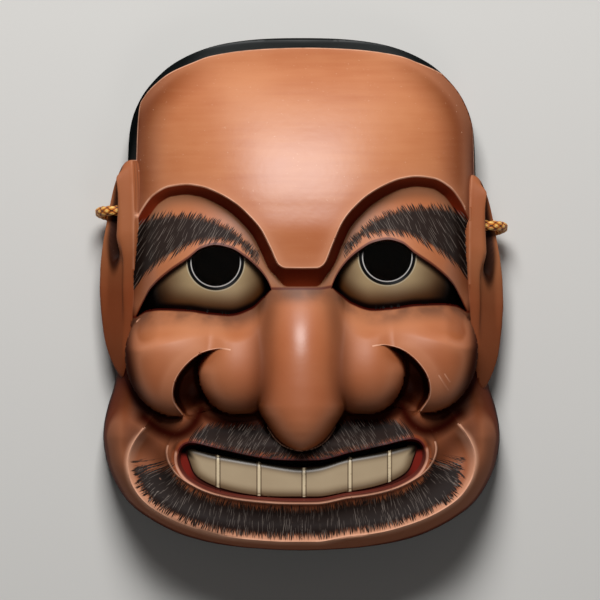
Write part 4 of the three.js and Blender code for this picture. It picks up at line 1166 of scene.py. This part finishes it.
def painted_skin():
    material, t, shader = new_material("Painted Skin", 0.4)
    old = t.effect("Old Lacquer", streak_scale=60.0)
    on_forehead = t.step(t.attribute("ledge"), 0.0, 6.0, 0.12, 1.0)
    streaks = t.times(t.math("SUBTRACT", old["Streaks"], 0.5), on_forehead, 0.3)
    skin_colour(t, t.math("ADD", old["Clouds"], streaks))
    slope = brow_slope(t)
    eye_surround(t)
    lips(t)
    hair, under_hair = hair_paint(t)
    # Painted glints, in specks on the forehead
    t.lay(t.times(old["Glints"], on_forehead, 0.35), 240, 196, 166)
    t.lay(t.step(t.attribute("hair_line"), -0.1, 0.15), 12, 16, 16)
    # Light lines on the carved edges, partly wear and partly painted highlight, and scratches
    worn_and_lit = t.effect("Worn And Lit Edge", distance=t.attribute("worn_and_lit_edge"))["Mask"]
    t.lay(worn_and_lit, 240, 180, 148)
    t.feed(shader.inputs["Base Color"], t.base)
    matt = t.math("MULTIPLY", under_hair, 0.5)
    side = t.step(t.attribute("side_shade"), 0.0, 0.6)
    low = t.step(t.attribute("near_recess"), 0.0, 0.5)
    for dark in (t.attribute("painted_shadow"), side, low, t.attribute("steep"), slope):
        matt = t.math("MAXIMUM", matt, dark)
    t.feed(shader.inputs["Specular IOR Level"], t.math("MULTIPLY_ADD", matt, -0.45, 0.47))
    in_painted_shadow = t.math("MULTIPLY", t.attribute("painted_shadow"), 0.3)
    dull = t.math("MAXIMUM", t.math("MULTIPLY", hair, 0.18), in_painted_shadow)
    clouded = t.math("MULTIPLY_ADD", old["Clouds"], 0.1, 0.5)
    gloss = t.math("MULTIPLY_ADD", t.attribute("polish"), -0.17, clouded)
    t.feed(shader.inputs["Roughness"], t.math("ADD", gloss, dull))
    height = t.math("ADD", old["Grain"], t.times(old["Streaks"], on_forehead, 0.3))
    bump = t.add("ShaderNodeBump", {"Strength": 0.12, "Distance": 0.0003, "Height": height})
    t.feed(shader.inputs["Normal"], bump.outputs[0])
    return material


def skin_colour(t, tone):
    """Flesh paint, with painted shade at the sides, towards the bottom, in the recesses and in the ears'
    hollows, painted shadow in the hollows, and a painted highlight on the raised parts and inside the
    chin's rim
    """
    t.base = t.mix(t.step(tone, 0.2, 0.8), colour(182, 104, 62), colour(204, 132, 88))
    # Painted shade, darker towards the bottom of the face
    t.lay(t.math("MULTIPLY", t.attribute("low"), 0.5), 148, 70, 34)
    # Painted shade at the sides
    t.lay(t.attribute("side_shade"), 86, 24, 4)
    # Painted shade in the recesses, deepest in the narrow ones, and a painted highlight on the raised
    # parts
    wide = t.attribute("wide_recess")
    t.lay(t.step(wide, 0.3, 3.5, 0.0, 0.85), 84, 28, 8)
    t.lay(t.step(wide, -0.3, -2.5, 0.0, 0.3), 220, 150, 112)
    t.lay(t.step(t.attribute("near_recess"), 0.15, 1.3, 0.0, 0.85), 44, 9, 3)
    # Painted shadow in the hollows under the cheeks and nostrils and beside the nose
    t.lay(t.attribute("painted_shadow"), 46, 8, 2)
    # Painted highlight inside the chin's rim
    t.lay(t.attribute("rim_highlight"), 226, 166, 134)
    # Painted shade in the ears' hollows
    t.lay(t.math("MULTIPLY", t.attribute("ear_hollow_shade"), 0.95), 36, 10, 4)


def brow_slope(t):
    """Painted shade on the slope under the forehead's edge, and a grey band below it"""
    foot = t.attribute("ledge_foot")
    grey_band = t.times(t.step(foot, -7.0, -0.4), t.step(foot, 0.3, 0.0), 0.55)
    t.lay(grey_band, 120, 88, 66)
    # Painted shade on the downward slope under the forehead's edge
    shaded_slope = t.times(t.step(foot, -0.2, 0.4), t.step(t.attribute("ledge"), -0.1, -0.7))
    t.lay(t.math("MULTIPLY", shaded_slope, 0.94), 104, 28, 8)
    return shaded_slope


def eye_surround(t):
    """Grey stains under the eye and the dark red edge of the lids"""
    above = t.attribute("above_lower_lid")
    patches = t.step(t.noise(70.0, 3.0), 0.35, 0.62, 0.3, 0.8)
    stain = t.times(t.step(above, -8.0, -0.8), t.step(above, 0.4, 0.0), patches)
    t.lay(stain, 92, 58, 42)
    upper_edge = t.times(t.step(t.attribute("below_eye"), -1.3, -0.5), t.step(above, -0.5, 0.2))
    t.lay(t.math("MULTIPLY", upper_edge, 0.85), 84, 20, 8)
    t.lay(t.step(t.attribute("lids"), -0.1, 0.2), 60, 12, 6)


def lips(t):
    """Below the teeth a dark red band of painted shade on the wall down to them, a pink line that is a
    painted highlight on the lip's edge, and a brown one; above them a dark red edge
    """
    mouth, lower = t.attribute("mouth"), t.attribute("lower_lip")
    t.lay(t.times(t.step(mouth, -3.2, -2.0), lower, 0.8), 156, 82, 48)
    # A pink line of painted highlight on the lip's edge
    t.lay(t.times(t.band(mouth, -1.0, 0.7), lower, 0.9), 232, 168, 140)
    # Painted shade on the wall down to the teeth
    t.lay(t.times(t.step(mouth, -0.45, -0.15), lower), 104, 46, 36)
    upper = t.math("SUBTRACT", 1.0, lower)
    t.lay(t.times(t.step(mouth, -2.4, -1.2), upper, 0.8), 134, 58, 26)
    t.lay(t.times(t.step(mouth, -0.9, -0.4), upper), 84, 16, 10)


def hair_paint(t):
    """Brushes brows, moustache and beard, and tells where their strokes and their areas are"""
    covered, area = 0.0, 0.0
    for name, row_width, length, charcoal in (
            ("brow_hair", 0.62, 9.0, (13, 14, 14)), ("moustache_hair", 0.6, 7.0, (10, 8, 7)),
            ("beard_hair", 0.6, 7.0, (14, 15, 15))):
        along, across, depth = t.vector(name)
        coarse, fine = (
            t.effect("Painted Hair", along=along, across=across, depth=depth, seed=seed,
                     row_width=row_width * size, stroke_length=length * size)
            for size, seed in ((1.0, 3.0), (0.62, 11.0)))
        wash = t.math("MAXIMUM", coarse["Wash"], fine["Wash"])
        t.lay(t.math("MULTIPLY", wash, 0.97), *charcoal)
        light = t.math("MAXIMUM", coarse["Light Lines"], fine["Light Lines"])
        t.lay(t.times(light, t.step(depth, -0.5, 1.0), 0.45), 178, 162, 150)
        covered = t.math("MAXIMUM", wash, covered)
        area = t.math("MAXIMUM", t.step(depth, -0.4, 1.2), area)
    return covered, area


def eyeball_paint():
    material, t, shader = new_material("Eyeball Paint", 0.32)
    pupil, above, below = t.attribute("pupil"), t.attribute("above_lower_lid"), t.attribute("below_eye")
    t.base = t.mix(t.noise(60.0, 3.0), colour(172, 146, 106), colour(192, 168, 130))
    t.lay(t.step(above, 11.5, 3.0, 0.0, 0.95), 84, 46, 14)
    t.lay(t.math("MULTIPLY", t.attribute("eye_ends"), 0.85), 80, 42, 12)
    # Painted shadow of the upper lid, just under it
    t.lay(t.step(below, 4.0, 0.8, 0.0, 0.85), 54, 30, 14)
    t.lay(t.step(above, 4.0, 1.9), 10, 5, 4)
    corner = t.attribute("eye_corner")
    t.lay(corner, 8, 5, 4)
    t.feed(shader.inputs["Specular IOR Level"], t.math("MULTIPLY_ADD", corner, -0.5, 0.5))
    # Painted highlights: a light ring round the pupil's black rim and a light arc on the hole's lower
    # edge
    t.lay(t.math("MULTIPLY", t.band(pupil, 2.0, 0.35), 0.6), 206, 196, 168)
    t.lay(t.step(pupil, 1.9, 1.6), 8, 8, 9)
    rim_glint = t.times(t.band(pupil, 0.3, 0.3), t.attribute("pupil_foot"))
    t.lay(rim_glint, 200, 196, 192)
    t.feed(shader.inputs["Base Color"], t.base)
    return material


def tooth_paint():
    material, t, shader = new_material("Tooth Paint", 0.38)
    gap, teeth = t.attribute("tooth_gap"), t.attribute("teeth")
    t.base = t.mix(t.noise(50.0, 3.0), colour(168, 146, 116), colour(192, 170, 138))
    # Painted shade towards the teeth's edges, and painted shadow of the upper lip over their tops
    t.lay(t.step(teeth, 4.5, 0.4, 0.0, 0.7), 104, 76, 46)
    upper = t.math("SUBTRACT", 1.0, t.attribute("lower_lip"))
    t.lay(t.times(t.step(teeth, 3.2, 0.6), upper), 34, 28, 20)
    t.lay(t.step(gap, 0.6, 0.4), 216, 196, 162)
    t.lay(t.times(t.band(gap, 0.85, 0.35), 0.7), 84, 64, 44)
    gum = t.mix(t.attribute("mouth_corner"), colour(66, 28, 22), colour(120, 36, 28))
    gum = t.mix(t.attribute("lower_lip"), colour(14, 8, 8), gum)
    t.lay(t.step(teeth, 0.2, 0.0), 36, 12, 10)
    t.base = t.mix(t.step(teeth, -0.3, -0.6), t.base, gum)
    t.feed(shader.inputs["Specular IOR Level"], t.step(teeth, 0.6, 1.8, 0.0, 0.5))
    t.feed(shader.inputs["Base Color"], t.base)
    return material


def inner_lacquer():
    material, t, shader = new_material("Inner Lacquer", 0.5)
    strokes = t.noise(45.0, 4.0, t.object_place((1, 0.3, 1)))
    t.base = t.mix(strokes, colour(20, 12, 9), colour(48, 28, 18))
    t.feed(shader.inputs["Base Color"], t.base)
    shader.inputs["Specular IOR Level"].default_value = 0.25
    bump = t.add("ShaderNodeBump", {"Strength": 0.4, "Distance": 0.001, "Height": strokes})
    t.feed(shader.inputs["Normal"], bump.outputs[0])
    return material


def silk():
    """Gold silk, with a painted highlight on top of each strand of the braid and painted shade between
    them
    """
    material, t, shader = new_material("Braided Silk", 0.5)
    along, around = t.attribute("along"), t.attribute("around")
    long_turns = t.math("MULTIPLY", along, 2 * math.pi / (BRAID_LENGTH * MM))
    round_turns = t.math("MULTIPLY", around, 4 * math.pi)
    lump = t.crossing(round_turns, long_turns)
    thread_turns = t.math("MULTIPLY_ADD", long_turns, 0.5, round_turns)
    threads = t.math("SINE", t.math("MULTIPLY", thread_turns, 9.0))
    # Painted shade between the strands and a painted highlight on top of each
    t.base = t.mix(t.step(lump, 0.2, 0.55), colour(60, 12, 2), colour(222, 124, 26))
    t.lay(t.step(lump, 0.6, 0.95), 255, 206, 112)
    t.lay(t.math("MULTIPLY", t.step(threads, 0.2, 1.0), 0.25), 168, 84, 18)
    t.feed(shader.inputs["Base Color"], t.base)
    bump = t.add("ShaderNodeBump", {"Strength": 0.5, "Distance": 0.0002, "Height": threads})
    t.feed(shader.inputs["Normal"], bump.outputs[0])
    return material


def paint_mask(piece):
    """Gives each face its paint by where it lies on the carving"""
    mesh = piece.data
    store_places(mesh)
    mesh.materials.clear()
    for material in (painted_skin(), eyeball_paint(), tooth_paint(), inner_lacquer()):
        mesh.materials.append(material)
    count = len(mesh.polygons)
    centre, normal = np.empty(count * 3, np.float32), np.empty(count * 3, np.float32)
    mesh.polygons.foreach_get("center", centre)
    mesh.polygons.foreach_get("normal", normal)
    x, y, z = centre.reshape(-1, 3).T.astype(float) / MM
    facing = normal.reshape(-1, 3)[:, 2]
    at = Places(x, y)
    hollow = hollow_height(x, y, at.edge - RIM_WALL)
    inside = (at.edge > RIM_WALL - 0.3) & (z < np.maximum(hollow, 0) + 0.4) | (facing < -0.9) & (z < 8)
    wide, long = NOSE_HOLLOW["rx"] + 1, NOSE_HOLLOW["ry"] + 1
    under_nose = np.hypot(x / wide, (y - NOSE_HOLLOW["y"]) / long) < 1
    nose_inside = (facing < 0.2) & under_nose & (z < 56.5)
    through = (at.pupil < 0.1) & (at.lids > 0) & (np.abs(facing) < 0.3)
    slot = (at.mouth > 0) & (at.teeth < 0) & (np.abs(facing) < 0.3) & (z < at.lip - GUM_SET_BACK - 0.3)
    index = np.zeros(count, int)
    index[(at.lids > LID_EDGE * 0.8) & (z > 20)] = 1
    index[(at.mouth > 0.9) & (z > 30)] = 2
    index[inside | nose_inside | through | slot] = 3
    mesh.polygons.foreach_set("material_index", index)
    mesh.shade_smooth()
    mesh.set_sharp_from_angle(angle=math.radians(28))


# Floor, light and surroundings
def make_stage():
    bpy.ops.mesh.primitive_plane_add(size=6)
    floor = bpy.context.object
    floor.name = "floor"
    floor.location = (0, 0, -0.0005)
    material, _, shader = new_material("Floor", 0.8)
    shader.inputs["Base Color"].default_value = colour(214, 212, 208)
    floor.data.materials.append(material)


def soft_light(name, place, target, size, power):
    data = bpy.data.lights.new(name, "AREA")
    data.shape, data.size, data.energy = "SQUARE", size, power
    light = bpy.data.objects.new(name, data)
    bpy.context.collection.objects.link(light)
    light.location = place
    light.rotation_euler = (Vector(target) - Vector(place)).to_track_quat("-Z", "Y").to_euler()


def make_light():
    soft_light("key", (-0.05, 0.75, 1.0), (0, 0, 0.03), 0.45, 16)
    soft_light("fill", (0.5, -1.1, 1.7), (0, 0, 0), 0.8, 2)
    world = bpy.data.worlds.new("world")
    bpy.context.scene.world = world
    world.use_nodes = True
    world.node_tree.nodes["Background"].inputs["Color"].default_value = (1, 1, 1, 1)
    world.node_tree.nodes["Background"].inputs["Strength"].default_value = 0.04
    bpy.context.scene.view_settings.view_transform = "Standard"


make_camera()
painted_hair_effect()
wear_and_highlight_effect()
lacquer_effect()
make_cords(silk())
mask = carved_mask()
paint_mask(mask)
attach(mask, "root")
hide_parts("mask")
make_stage()
make_light()
